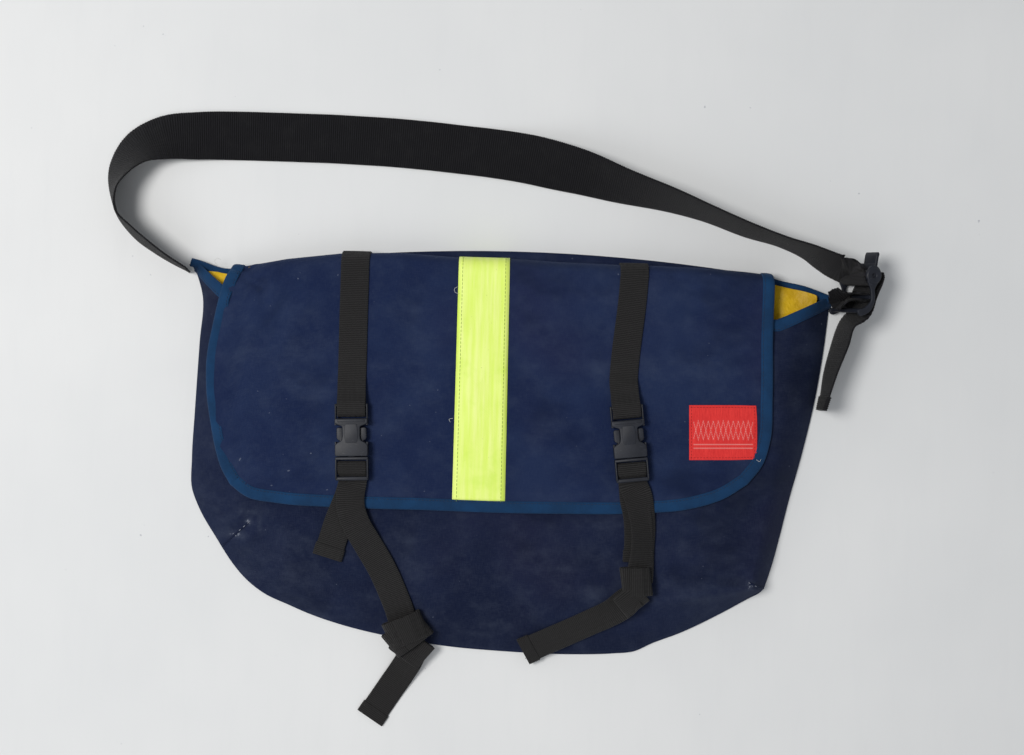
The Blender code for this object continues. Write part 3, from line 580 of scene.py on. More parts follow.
def floor_material(name):
    """Pale painted floor with a few faint stains and specks."""
    s = Shader(name, 0.85, specular=0.15)
    vector = s.position()
    broad = s.patches(vector, 2.2, 4.0, 0.6, 0.30, 0.75)
    colour = s.mix(broad, (0.700, 0.710, 0.715), (0.760, 0.765, 0.765))
    brushed = s.noise(s.stretch(vector, (60.0, 9.0, 1.0)), 1.0, 4.0, 0.7)
    colour = s.stain(colour, s.ramp(brushed, 0.45, 0.75), 0.12, (0.66, 0.67, 0.68))
    soiled = s.patches(vector, 13.0, 7.0, 0.72, 0.66, 0.74)
    colour = s.stain(colour, soiled, 0.22, (0.50, 0.53, 0.60))
    specks = s.patches(vector, 120.0, 2.0, 0.5, 0.765, 0.79)
    s.colour(s.stain(colour, specks, 0.6, (0.35, 0.36, 0.40)))
    s.bump(brushed, 0.0006, 0.25)
    return s.material


CANVAS = canvas_material("canvas_navy", (0.0080, 0.0155, 0.0530), (0.0130, 0.0235, 0.0680),
                         (0.0145, 0.0150, 0.0500), (0.060, 0.080, 0.130))
# A darker copy of the flap's canvas: painted shade on the front and the walls.
CANVAS_BODY_SHADED = canvas_material("canvas_body_painted_shade", (0.0056, 0.0094, 0.0300), (0.0090, 0.0142, 0.0405),
                              (0.0115, 0.0115, 0.0340), (0.070, 0.085, 0.125))
CANVAS_BACK = canvas_material("canvas_back", (0.0080, 0.0130, 0.0400), (0.0120, 0.0190, 0.0540),
                              (0.0130, 0.0135, 0.0440), (0.060, 0.075, 0.110))
LINING = lining_material("liner_yellow_shaded")
BINDING = binding_material("binding_blue")
WEB = webbing_material("webbing_black", (0.0135, 0.0128, 0.0130), RIB_PITCH, 0.22)
SHOULDER_WEB = webbing_material("shoulder_webbing_black", (0.0060, 0.0058, 0.0075),
                                SHOULDER_RIB_PITCH, 0.12)
STRIP = strip_material("tape_fluorescent")
PATCH = patch_material("patch_red")
THREAD_DARK = thread_material("thread_navy", (0.004, 0.012, 0.040))
THREAD_GREEN = thread_material("thread_olive", (0.300, 0.420, 0.060))
THREAD_RED = thread_material("thread_red", (0.340, 0.010, 0.014))
THREAD_BLACK = thread_material("thread_black", (0.010, 0.010, 0.011))
THREAD_WHITE = thread_material("thread_white", (0.62, 0.62, 0.60))
THREAD_CHALK = thread_material("thread_chalk", (0.22, 0.24, 0.30))
PLASTIC = plastic_material("acetal_black", (0.011, 0.013, 0.020), 0.50)


# ------------------------------------------------------------------ camera, light and floor

CAMERA_PLACE = (0.0019, 0.0702, 1.287)
CAMERA_TURN = math.radians(1.4)
LOOKED_AT = Vector((0, 0.05, 0))
SKY_COLOUR, SKY_STRENGTH = (0.93, 0.96, 1.0, 1.0), 0.37
# Name, place, size, power, colour.
LIGHTS = [("key", (-0.95, 0.25, 2.1), 0.8, 34.5, (1.0, 0.985, 0.96)),
          ("fill", (-0.6, -1.6, 2.0), 1.8, 8.0, (0.95, 0.97, 1.0))]
FLOOR_SIZE = 20.0
FLOOR_DROP = 0.0002


def make_camera(scene):
    lens = bpy.data.cameras.new("camera")
    lens.lens = 50.0
    lens.sensor_width = 36.0
    lens.clip_start, lens.clip_end = 0.05, 20.0
    camera = bpy.data.objects.new("camera", lens)
    camera.location = CAMERA_PLACE
    camera.rotation_euler = (0.0, 0.0, CAMERA_TURN)
    scene.collection.objects.link(camera)
    scene.camera = camera


def make_lights(scene):
    world = bpy.data.worlds.new("studio")
    world.use_nodes = True
    world.node_tree.nodes["Background"].inputs[0].default_value = SKY_COLOUR
    world.node_tree.nodes["Background"].inputs[1].default_value = SKY_STRENGTH
    scene.world = world
    for name, place, size, power, tint in LIGHTS:
        lamp = bpy.data.lights.new(name, "AREA")
        lamp.shape = "DISK"
        lamp.size = size
        lamp.energy = power
        lamp.color = tint
        holder = bpy.data.objects.new(name, lamp)
        holder.location = place
        aim = LOOKED_AT - Vector(place)
        holder.rotation_euler = aim.to_track_quat("-Z", "Y").to_euler()
        scene.collection.objects.link(holder)


def make_floor(scene):
    bm = bmesh.new()
    bmesh.ops.create_grid(bm, x_segments=8, y_segments=8, size=FLOOR_SIZE)
    mesh = bpy.data.meshes.new("floor")
    bm.to_mesh(mesh)
    bm.free()
    mesh.materials.append(floor_material("floor_paint"))
    floor = bpy.data.objects.new("floor", mesh)
    floor.location.z = -FLOOR_DROP
    scene.collection.objects.link(floor)


# ------------------------------------------------------------------ body of the bag

COLUMNS, ROWS, RINGS = 171, 61, 21
CORNER_SEAMS = {"left": ((-0.2555, -0.0878), (-0.2285, -0.0640)),
                "right": ((0.2325, -0.1140), (0.2160, -0.1060))}
SEAM_ROLL = [(-0.0013, -0.0008), (-0.0010, 0.0004), (-0.0003, 0.0011), (0.0006, 0.0008),
             (0.0011, -0.0001), (0.0013, -0.0008)]
EAR_COLUMNS = 34

# Soft folds of the front and the walls: start, end, width, height.
BODY_FOLDS = [
    ((-0.232, -0.060), (0.217, -0.113), 0.012, 0.0006),
    ((0.030, -0.0990), (0.085, -0.0955), 0.0035, 0.0014),
    ((0.118, -0.116), (0.158, -0.098), 0.008, -0.0026),
    ((0.152, -0.0985), (0.214, -0.1010), 0.0055, -0.0046),
    ((0.134, -0.126), (0.219, -0.1120), 0.0070, 0.0044),
    ((-0.150, -0.087), (-0.095, -0.105), 0.010, -0.0012),
    ((-0.240, -0.058), (-0.150, -0.073), 0.011, -0.0010),
    ((-0.2560, -0.0880), (-0.2290, -0.0640), 0.0026, -0.0048),
    ((-0.262, -0.0750), (-0.232, -0.0540), 0.0045, 0.0022),
    ((-0.240, -0.0930), (-0.219, -0.0690), 0.0045, 0.0022),
    ((0.226, -0.116), (0.214, -0.099), 0.0040, 0.0016),
    ((0.236, -0.106), (0.222, -0.090), 0.0040, -0.0016),
    ((0.262, 0.100), (0.246, -0.020), 0.008, -0.0012),
    ((0.246, 0.110), (0.268, 0.120), 0.005, 0.0012),
    ((-0.262, 0.120), (-0.270, 0.020), 0.007, -0.0010),
    ((-0.100, -0.120), (-0.060, -0.165), 0.010, 0.0010),
    ((0.060, -0.120), (0.040, -0.168), 0.012, -0.0010),
    ((-0.190, -0.100), (-0.180, -0.140), 0.010, 0.0010),
]

# Rubbed places: centre, reach along x and y, strength.
BODY_RUBS = [
    ((-0.2285, -0.0632), 0.0034, 0.0028, 1.00), ((-0.2410, -0.0760), 0.0100, 0.0030, 0.80),
    ((-0.2290, -0.0545), 0.0110, 0.0022, 0.45), ((-0.2180, -0.0660), 0.0022, 0.0090, 0.40),
    ((0.0540, -0.0962), 0.0085, 0.0016, 0.95), ((0.0350, -0.0952), 0.0140, 0.0010, 0.20),
    ((0.2170, -0.1085), 0.0045, 0.0038, 1.00), ((0.2080, -0.1060), 0.0120, 0.0060, 0.30),
    ((0.2170, 0.0680), 0.0030, 0.0015, 0.30), ((0.1700, -0.0740), 0.0050, 0.0015, 0.25),
    ((-0.0330, -0.1605), 0.0160, 0.0008, 0.30), ((-0.2150, -0.0900), 0.0200, 0.0130, 0.12),
]


def body_relief(x, y):
    broad = 0.0016 * soft_noise(x, y, 0.070, 3) + 0.0009 * soft_noise(x, y, 0.031, 4)
    fine = 0.00022 * soft_noise(x, y, 0.012, 5)
    return broad + fine + fold_lines(x, y, BODY_FOLDS)


def rubs(x, y, places):
    total = np.zeros_like(x)
    for (cx, cy), rx, ry, strength in places:
        reach = ((x - cx) / rx) ** 2 + ((y - cy) / ry) ** 2
        total = np.maximum(total, strength * np.exp(-reach))
    return total


def ring_grid():
    """The side walls: one strip from the left ear round the bottom to the right ear."""
    feet = np.vstack([curve(LEFT_EDGE, ROWS), curve(BOTTOM_EDGE, COLUMNS)[1:],
                      curve(RIGHT_EDGE, ROWS)[::-1][1:]])
    seams = np.vstack([curve(FRONT_LEFT, ROWS), curve(FRONT_BOTTOM, COLUMNS)[1:],
                       curve(FRONT_RIGHT, ROWS)[::-1][1:]])
    share = np.linspace(0, 1, RINGS)[:, None]
    plan = feet[None] * (1 - share[..., None]) + seams[None] * share[..., None]
    rise = 1 - (1 - share) ** 1.75
    height = FOOT_Z + (FRONT_TOP - FOOT_Z) * rise + body_relief(plan[..., 0], plan[..., 1]) * (
        smoothstep(share, 0.0, 0.35))
    sag = 0.0016 * np.sin(math.pi * share) * soft_noise(plan[..., 0], plan[..., 1], 0.045, 9)
    drop = MOUTH_DROP * smoothstep(plan[..., 1], 0.085, 0.122) * share
    height = np.maximum(height + sag - drop, FOOT_Z)
    return np.dstack([plan, height])


def front_grid():
    plan = coons(curve(MOUTH_EDGE, COLUMNS), curve(FRONT_BOTTOM, COLUMNS),
                 curve(FRONT_LEFT, ROWS), curve(FRONT_RIGHT, ROWS))
    x, y = plan[..., 0], plan[..., 1]
    under_flap = smoothstep(y, -0.075, -0.045)
    height = FRONT_TOP + body_relief(x, y) * (1 - 0.55 * under_flap)
    height = np.where(under_flap > 0, np.minimum(height, FRONT_TOP + 0.0008), height)
    height = height - MOUTH_DROP * smoothstep(y, 0.085, 0.122)
    return np.dstack([plan, height])


def rim(grid):
    """Down a grid's left side, along its foot and back up its right side."""
    return np.vstack([grid[:, 0], grid[-1, 1:], grid[::-1, -1][1:]])


def facing_up(grid):
    """The grid's normals, turned so that most of them point up."""
    normals = grid_normals(grid)
    return normals * np.sign(normals[..., 2:3].mean())


def inset_grid(grid, gap):
    """The same grid moved inside by a gap, and kept off the floor."""
    inner = grid - facing_up(grid) * gap
    inner[..., 2] = np.maximum(inner[..., 2], 0.0030)
    return inner


def weld(obj, distance=0.00002):
    """Joins the grids of a mesh where they meet, facing up."""
    bm = bmesh.new()
    bm.from_mesh(obj.data)
    bmesh.ops.remove_doubles(bm, verts=bm.verts, dist=distance)
    bmesh.ops.recalc_face_normals(bm, faces=bm.faces)
    if sum(face.normal.z for face in bm.faces) < 0:
        bmesh.ops.reverse_faces(bm, faces=bm.faces)
    bm.to_mesh(obj.data)
    bm.free()


def build_shell():
    """The front and the walls as one cloth, worn along its seam, and paler where it meets the floor:
    partly wear, partly a painted highlight of that edge catching light.
    """
    ring, front = ring_grid(), front_grid()
    border = rim(front)
    ring[-1] = border
    count = ring.shape[0] * ring.shape[1]
    points = np.vstack([ring.reshape(-1, 3), front.reshape(-1, 3)])
    outside = [face[::-1] for face in grid_faces(*ring.shape[:2])]
    faces = outside + grid_faces(*front.shape[:2], start=count)
    x, y, z = points.T
    # Paler where the walls meet the floor: partly wear, partly a painted highlight of the edge
    # catching light.
    foot = 0.40 * smoothstep(-z, -0.0042, -0.0010)
    wear = np.maximum(rubs(x, y, BODY_RUBS), foot * (0.5 + 0.5 * soft_noise(x, y, 0.018, 21)))
    seam = np.zeros(len(points))
    seam[count - len(border):count] = 0.10 * (0.5 + 0.5 * soft_noise(*border.T[:2], 0.02, 22))
    wear = np.maximum(wear, seam)
    shell = mesh_object("bag_shell", points, faces, points[:, :2], CANVAS_BODY_SHADED, wear)
    weld(shell)
    thicken(shell, CLOTH)
    refine(shell)
    assign(shell, rides_on("bag"), "canvas",
           "front_panel", "gusset_left", "gusset_right", "gusset_bottom")
    build_front_liner(inset_grid(ring, 0.0026), inset_grid(front, 0.0022))
    return ring, front


def build_front_liner(ring, front):
    patches = [("liner_left", ring[1:, 1:EAR_COLUMNS]), ("liner_front", front[2:-4, 3:-3]),
               ("liner_right", ring[1:, -EAR_COLUMNS:-1])]
    pieces = [grid_object(name, grid, grid[..., :2], LINING) for name, grid in patches]
    for piece in pieces:
        thicken(piece, LINER, 0.0)
    lining = join("liner_front_and_walls", pieces)
    assign(lining, rides_on("bag"), "lining", "lining_front")


def build_corner_seams(body):
    """Where a lower corner's spare cloth is folded in: a rolled seam with a worn tip."""
    for side, ends in CORNER_SEAMS.items():
        path = curve(ends, 24)
        path = np.column_stack([path, [body.height(x, y) + 0.0003 for x, y in path]])
        _, aside, up = frames(path, np.tile((0.0, 0.0, 1.0), (len(path), 1)))
        seam = section_sweep("corner_seam_" + side, path, aside, up, SEAM_ROLL, CANVAS_BODY_SHADED)
        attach(seam, "bag")
        tip = np.linspace(path[-1], path[-8], 6) + (0.0, 0.0, 0.0012)
        stitches("corner_seam_stitch_" + side, [(tip, up[:6])], THREAD_CHALK, rides_on("bag"),
                 "canvas", 0.0030, 0.0026, 0.00035)


def build_back():
    """The back cloth on the floor."""
    plan = coons(curve(BACK_TOP, COLUMNS), curve(BOTTOM_EDGE, COLUMNS),
                 curve(LEFT_EDGE, ROWS), curve(RIGHT_EDGE, ROWS))
    x, y = plan[..., 0], plan[..., 1]
    ripple = 0.00025 * (1 + soft_noise(x, y, 0.05, 31))
    ear = 0.0040 * smoothstep(y, 0.135, 0.168) * smoothstep(np.abs(x), 0.236, 0.262)
    back = np.dstack([plan, 0.0016 + ripple + ear])
    wear = 0.15 * smoothstep(-np.minimum(x + 0.29, 0.29 - x), -0.012, 0.0)
    cloth = grid_object("back_cloth", back, plan, CANVAS_BACK, wear)
    thicken(cloth, 0.0014)
    assign(cloth, rides_on("bag"), "canvas", "back_panel")
    build_back_liner(back[1:-18, 4:-4].copy())
    return back


def build_back_liner(grid):
    """The liner on the back cloth. It is crumpled in the ears and drawn in under the fold."""
    x, y = grid[..., 0], grid[..., 1]
    wrinkle = 1 + soft_noise(x, y, 0.022, 33)
    crumple = 0.5 + 0.5 * soft_noise(x, y, 0.013, 34)
    beside = np.where(x < 0, -x - 0.016, x)
    under_fold = 1 - smoothstep(beside, 0.205, 0.232)
    y -= 0.022 * under_fold * smoothstep(y, 0.120, 0.165)
    in_ear = smoothstep(np.abs(x), 0.225, 0.245) * smoothstep(y, 0.095, 0.140)
    in_ear *= 1 - 0.75 * smoothstep(y, 0.150, 0.163)
    grid[..., 2] += 0.0008 + 0.0009 * wrinkle + in_ear * (0.0030 + 0.0065 * crumple)
    lining = grid_object("liner_back", grid, grid[..., :2], LINING)
    thicken(lining, LINER, 0.0)
    refine(lining, 2)
    assign(lining, rides_on("bag"), "lining", "lining_back")


# ------------------------------------------------------------------ flap

FLAP_ROWS, FOLD_ROWS = 55, 14

FLAP_FOLDS = [
    ((-0.2410, 0.1550), (-0.2180, 0.1440), 0.0034, -0.0046),
    ((-0.2330, 0.1600), (-0.2060, 0.1580), 0.0040, 0.0020),
    ((-0.2200, 0.1500), (-0.2190, 0.1300), 0.0044, -0.0028),
    ((-0.1950, 0.1360), (-0.2270, 0.0830), 0.0070, -0.0038),
    ((-0.1800, 0.1350), (-0.2030, 0.0850), 0.0075, 0.0012),
    ((-0.2420, 0.1200), (-0.2450, 0.0500), 0.0070, -0.0016),
    ((0.1400, 0.1620), (0.1620, 0.1500), 0.0030, -0.0012),
    ((-0.0900, 0.1660), (-0.0700, 0.1500), 0.0060, -0.0010),
    ((0.1230, 0.1560), (0.1500, 0.1400), 0.0060, 0.0008),
    ((0.0300, 0.1610), (0.0800, 0.1560), 0.0080, 0.0007),
    ((0.1560, -0.0150), (0.2050, 0.0000), 0.0120, -0.0008),
    ((-0.2350, 0.0810), (0.2250, 0.0760), 0.0030, -0.0006),
    ((-0.0300, 0.0100), (0.0900, -0.0200), 0.0160, -0.0008),
    ((-0.2400, 0.0200), (-0.2150, -0.0300), 0.0140, -0.0009),
]

FLAP_RUBS = [
    ((-0.0600, 0.0800), 0.1600, 0.0014, 0.13), ((0.0700, -0.0330), 0.0900, 0.0030, 0.10),
    ((-0.2120, 0.1080), 0.0020, 0.0016, 0.55), ((-0.1500, 0.1000), 0.0120, 0.0060, 0.14),
    ((0.0900, 0.0900), 0.0300, 0.0200, 0.08), ((0.1480, 0.1450), 0.0120, 0.0040, 0.20),
    ((0.1300, 0.1280), 0.0060, 0.0090, 0.16), ((0.0400, 0.0700), 0.0240, 0.0008, 0.25),
    ((0.2170, 0.0710), 0.0024, 0.0012, 0.30), ((-0.0900, 0.0640), 0.0200, 0.0008, 0.22),
    ((-0.1980, 0.0900), 0.0250, 0.0010, 0.16), ((0.1520, 0.0050), 0.0240, 0.0160, 0.09),
    ((-0.1750, 0.1290), 0.0100, 0.0050, 0.12), ((0.1250, 0.1480), 0.0040, 0.0060, 0.22),
]


def fold_reach(x):
    return np.interp(x, *np.array(FOLD_REACH).T)


def flap_height(x, y):
    """Height of the flap's top face. It lies level under the straps and droops past the seams."""
    left = np.interp(y, [-0.04, 0.04, 0.10, 0.15], [-0.243, -0.2685, -0.262, -0.246])
    droop = 0.0058 * smoothstep(-(x - left), -0.034, 0.0) * smoothstep(y, -0.04, 0.02)
    droop += 0.0016 * smoothstep(x, 0.205, 0.234)
    droop += 0.0012 * smoothstep(-y, 0.036, 0.050)
    low = 0.0005 * (1 + soft_noise(x, y, 0.060, 11)) + 0.0003 * (1 + soft_noise(x, y, 0.026, 12))
    return FLAP_TOP - low - droop + fold_lines(x, y, FLAP_FOLDS)


def fold_profile(x):
    """(y, z) points up the fold behind one x, from the floor to the flap's level top."""
    reach = float(fold_reach(x))
    top_y = reach - FOLD_CURVE
    top = float(flap_height(np.array([x]), np.array([top_y]))[0])
    bulge = 0.0006 * float(soft_noise(x, 0.0, 0.04, 15))
    knots = [(reach - 0.0050, FOLD_FLOOR), (reach - 0.0022, 0.0055), (reach + bulge, 0.0125),
             (reach - 0.0002, 0.0205), (reach - 0.0022, top - 0.0058),
             (reach - 0.0055, top - 0.0018), (top_y, top)]
    return curve(knots, FOLD_ROWS)


def lay_on(plan_grid, body, clearance, most):
    """Lifts a grid where it would sink into what lies under it."""
    for point in plan_grid.reshape(-1, 3):
        floor = body.height(point[0], point[1]) + clearance
        point[2] = max(point[2], min(floor, most))


def flap_grid(body):
    across = np.linspace(FLAP_LEFT[0][0], FLAP_RIGHT[0][0], COLUMNS)
    top = np.column_stack([across, fold_reach(across) - FOLD_CURVE])
    left = [tuple(top[0])] + FLAP_LEFT[1:]
    right = [tuple(top[-1])] + FLAP_RIGHT[1:]
    plan = coons(top, curve(FLAP_BOTTOM, COLUMNS), curve(left, FLAP_ROWS),
                 curve(right, FLAP_ROWS))
    flat = np.dstack([plan, flap_height(plan[..., 0], plan[..., 1])])
    lay_on(flat, body, 0.0028, FLAP_TOP + 0.0004)
    fold = np.stack([np.column_stack([np.full(FOLD_ROWS, x), fold_profile(x)]) for x in across],
                    axis=1)
    lean = 0.45 * smoothstep(-across, 0.215, 0.2545)
    fold[..., 0] += lean * (fold[..., 1] - fold[-1, :, 1])
    return np.vstack([fold[:-1], flat])


def sheet_uv(grid):
    """(x, length down each column), so that the weave runs true over the fold."""
    steps = np.linalg.norm(np.diff(grid, axis=0), axis=2)
    along = np.vstack([np.zeros(grid.shape[1]), np.cumsum(steps, axis=0)])
    return np.dstack([grid[..., 0], -along])


def build_flap_cloth(body):
    grid = flap_grid(body)
    x, y = grid[..., 0], grid[..., 1]
    wear = rubs(x, y, FLAP_RUBS)
    top_edge = 0.10 * np.exp(-((np.arange(len(grid)) - FOLD_ROWS + 3) / 3.0) ** 2)[:, None]
    wear = np.maximum(wear, top_edge * (0.5 + 0.5 * soft_noise(x, y, 0.02, 14)))
    cloth = grid_object("flap_cloth", grid, sheet_uv(grid), CANVAS, wear)
    thicken(cloth, CLOTH)
    refine(cloth)
    assign(cloth, over_hinge, "canvas", "flap_panel", "fold_wall")
    inner = grid[2:-3, 3:-3] - grid_normals(grid)[2:-3, 3:-3] * 0.0016
    lining = grid_object("flap_liner", inner, inner[..., :2], LINING)
    thicken(lining, LINER, 0.0)
    assign(lining, over_hinge, "lining", "flap_lining")
    return grid


class Surface:
    """Answers how high the top face of some grids is at a plan point."""

    def __init__(self, *grids):
        points, faces = [], []
        for grid in grids:
            faces += grid_faces(*grid.shape[:2], start=len(points))
            points += [Vector(p) for p in grid.reshape(-1, 3)]
        self.tree = BVHTree.FromPolygons(points, faces)

    def height(self, x, y):
        hit = self.tree.ray_cast(Vector((x, y, 0.2)), Vector((0, 0, -1)))[0]
        return hit.z if hit else 0.0


def frames(points, normals):
    """Unit tangents, inward directions and normals along an edge path."""
    tangents = unit(np.gradient(points, axis=0))
    normals = unit(normals - tangents * np.sum(normals * tangents, axis=1, keepdims=True))
    return tangents, np.cross(normals, tangents), normals


BINDING_SECTION = [(0.0104, 0.0002), (0.0100, 0.0009), (0.0088, 0.00085), (0.0076, 0.0012),
                   (0.0052, 0.0014), (0.0028, 0.0014), (0.0010, 0.0011), (0.0000, 0.0004),
                   (-0.0003, -0.0004), (0.0002, -0.0013), (0.0014, -0.0020), (0.0050, -0.0023),
                   (0.0085, -0.0022), (0.0103, -0.0016), (0.0104, -0.0008)]
BINDING_STEP = 0.0022


def bind_edge(name, edge, normals, side, bodies, *nodes, width=1.0):
    """Tape folded over an edge. side is +1 if inward is normal x tangent, else -1.

    It returns where the tape is stitched, as points and the way up at each.
    """
    count = max(int(path_length(edge) / BINDING_STEP), 4)
    both = resample(np.column_stack([edge, normals]), count)
    points = both[:, :3]
    _, inward, up = frames(points, both[:, 3:])
    inward = inward * side
    along = np.arange(count) * BINDING_STEP
    pucker = 1 + 0.10 * np.sin(along / 0.0011) * soft_noise(along, along * 0, 0.02, 41)
    section = np.array(BINDING_SECTION) * (width, 1.0)
    tape = section_sweep(name, points, inward, up * pucker[:, None], section, BINDING)
    assign(tape, bodies, "binding", *nodes)
    return points + inward * 0.0086 * width + up * 0.00095, up


def stitches(name, rows, material, bodies, slot, pitch=0.0031, length=0.0023, radius=0.00026):
    """Dashes of thread along paths. rows holds (points, normals) pairs."""
    sides, rings = 6, [(-0.5, 0.15), (-0.38, 0.85), (0.0, 1.0), (0.38, 0.85), (0.5, 0.15)]
    turns = [(math.cos(a), math.sin(a)) for a in np.arange(sides) * 2 * math.pi / sides]
    points, faces = [], []
    for path, normals in rows:
        count = max(int(path_length(path) / pitch), 2)
        both = resample(np.column_stack([path, normals]), count)
        tangents, inward, up = frames(both[:, :3], both[:, 3:])
        for middle, ahead, aside, above in zip(both[:, :3], tangents, inward, up):
            faces += ring_faces(len(rings), sides, len(points))
            for along, swell in rings:
                centre = middle + ahead * along * length - above * 0.00018 * (1 - swell)
                points += [centre + (aside * c + above * s) * radius * swell for c, s in turns]
    points = np.array(points)
    assign(mesh_object(name, points, faces, points[:, :2], material), bodies, slot)


def build_flap_binding(grid):
    stitch = bind_edge("flap_binding_tape", rim(grid), rim(grid_normals(grid)), 1, over_hinge,
                       "flap_binding")
    stitches("flap_binding_stitches", [stitch], THREAD_DARK, over_hinge, "binding")


def mouth_line(ring, front):
    """Along the mouth's edge: the left ear, the front and the right ear."""
    return np.vstack([ring[:, 0], front[0, 1:], ring[::-1, -1][1:]])


def build_body_bindings(ring, front, back):
    """Tape on the mouth's hem, over the ears, and along the back's ears."""
    bag = rides_on("bag")
    rows = [bind_edge("mouth_binding_tape", mouth_line(ring, front),
                      mouth_line(facing_up(ring), facing_up(front)), -1, bag,
                      "mouth_binding", "ear_binding_left", "ear_binding_right")]
    ears = {"ear_tape_left": back[0, back[0, :, 0] < -0.238],
            "ear_tape_right": back[0, back[0, :, 0] > 0.226]}
    for name, edge in ears.items():
        lifted = edge + (0.0, 0.0, 0.0012)
        up = np.tile((0.0, 0.0, 1.0), (len(edge), 1))
        rows.append(bind_edge(name, lifted, up, -1, bag, width=0.72))
    stitches("mouth_binding_stitches", rows, THREAD_DARK, bag, "binding")


def laid_over(surface, x_of_y, y_end, lift, rows):
    """Centre line of a tape that climbs the fold at its own x and runs down the flap."""
    top_x = x_of_y(HINGE[1])
    fold = fold_profile(top_x)
    tangent = unit(np.gradient(fold, axis=0))
    outward = np.column_stack([tangent[:, 1], -tangent[:, 0]])
    fold = fold + outward * lift
    climb = np.column_stack([np.full(len(fold), top_x), fold])
    ys = np.linspace(float(fold_reach(top_x)) - FOLD_CURVE, y_end, rows)[1:]
    run = [(x_of_y(y), y, surface.height(x_of_y(y), y) + lift) for y in ys]
    return np.vstack([climb, np.array(run)])


# Where the strip's two edges run: x at the fold and x at its foot.
STRIP_EDGES = ((-0.0474, -0.0483), (-0.0024, -0.0016))
STRIP_TOP, STRIP_FOOT, STRIP_LIFT, STRIP_COLUMNS = 0.176, -0.0392, 0.0007, 11


def build_strip(surface):
    """The fluorescent strip, which comes over the fold and ends above the binding."""
    lines = []
    for top_x, low_x in np.linspace(*STRIP_EDGES, STRIP_COLUMNS):
        slope = (low_x - top_x) / 0.216
        x_of_y = lambda y, top_x=top_x, slope=slope: top_x + slope * (STRIP_TOP - y)
        lines.append(laid_over(surface, x_of_y, STRIP_FOOT, STRIP_LIFT, 84))
    grid = np.stack(lines, axis=1)
    grid[..., 2] += 0.00035 * soft_noise(grid[..., 0], grid[..., 1], 0.014, 51)
    strip = grid_object("strip_tape", grid, sheet_uv(grid), STRIP)
    thicken(strip, 0.0005)
    assign(strip, over_hinge, "reflective", "reflective_strip")
    ups = grid_normals(grid)
    rows = []
    for column, neighbour in ((0, 1), (-1, -2)):
        line = grid[:, column] * 0.20 + grid[:, neighbour] * 0.80
        rows.append((line + ups[:, column] * 0.0002, ups[:, column]))
    stitches("strip_stitches", rows, THREAD_GREEN, over_hinge, "reflective",
             0.0034, 0.0026, 0.00024)


LABEL_WIDTH, LABEL_HEIGHT = 0.060, 0.0485
LABEL_CENTRE = (0.1893, 0.0262)
LABEL_TURN = math.radians(1.4)
LABEL_COLUMNS, LABEL_ROWS = 121, 97
# The zigzag's pitch and swing, how far up it runs, and the heights of the two plain lines.
ZIGZAG_PITCH, ZIGZAG_SWING, ZIGZAG_Y = 0.0088, 0.0165, 0.0020
LABEL_LINES = (-0.0105, -0.0138)
LABEL_MARGIN = 0.0262


def label_pattern(x, y):
    """How far each point of the patch is woven in pink: two crossed zigzags and two lines."""
    swing = (np.abs((x / ZIGZAG_PITCH) % 1.0 - 0.5) * 2 - 0.5) * ZIGZAG_SWING
    marks = [np.exp(-((y - ZIGZAG_Y - way * swing) / 0.00070) ** 2) for way in (1, -1)]
    marks += [0.9 * np.exp(-((y - level) / 0.00036) ** 2) for level in LABEL_LINES]
    return 0.95 * np.max(marks, axis=0) * (np.abs(x) < LABEL_MARGIN)


def surface_heights(surface, x, y, every=8):
    """The surface's height over a grid, measured at every eighth point and blended between."""
    z = np.array([[surface.height(px, py) for px, py in zip(*line)]
                  for line in zip(x[::every, ::every], y[::every, ::every])])
    rows_at, cols_at = (np.arange(count) / every for count in x.shape)
    z = np.array([np.interp(cols_at, np.arange(z.shape[1]), line) for line in z])
    return np.array([np.interp(rows_at, np.arange(z.shape[0]), line) for line in z.T]).T


def build_label(surface):
    """A plain woven patch: satin ground, zigzag band and two lines, sewn round its edge."""
    a, b = np.meshgrid(np.linspace(-0.5, 0.5, LABEL_COLUMNS), np.linspace(0.5, -0.5, LABEL_ROWS))
    bow = 1 - 0.030 * smoothstep(a, 0.2, 0.5) * (2 * np.abs(b)) ** 2.2
    x = a * LABEL_WIDTH * bow
    y = b * LABEL_HEIGHT * (1 - 0.02 * smoothstep(a, 0.1, 0.5))
    plan_x = LABEL_CENTRE[0] + x * math.cos(LABEL_TURN) - y * math.sin(LABEL_TURN)
    plan_y = LABEL_CENTRE[1] + x * math.sin(LABEL_TURN) + y * math.cos(LABEL_TURN)
    puff = 0.00030 * (1 - (2 * np.abs(a)) ** 6) * (1 - (2 * np.abs(b)) ** 6)
    z = surface_heights(surface, plan_x, plan_y)
    z = z + 0.0008 + puff + 0.0002 * soft_noise(x, y, 0.009, 61)
    grid = np.dstack([plan_x, plan_y, z])
    patch = grid_object("label_patch_woven", grid, np.dstack([x, y]), PATCH, label_pattern(x, y))
    thicken(patch, 0.0006)
    assign(patch, rides_on("flap"), "label", "label_patch")
    inside = slice(4, -4)
    ups = grid_normals(grid)
    edges = [(4, inside), (inside, -5), (-5, inside), (inside, 4)]
    lines = [(grid[edge] + ups[edge] * 0.0002, ups[edge]) for edge in edges]
    stitches("label_stitches", lines, THREAD_RED, rides_on("flap"), "label",
             0.0026, 0.0019, 0.00022)


# ------------------------------------------------------------------ webbing

FLAP_STRAP_X = {"left": -0.1388, "right": 0.1078}
BUCKLES = {"left": ((-0.1369, -0.0022), 2.0), "right": ((0.1078, 0.0024), 6.5)}

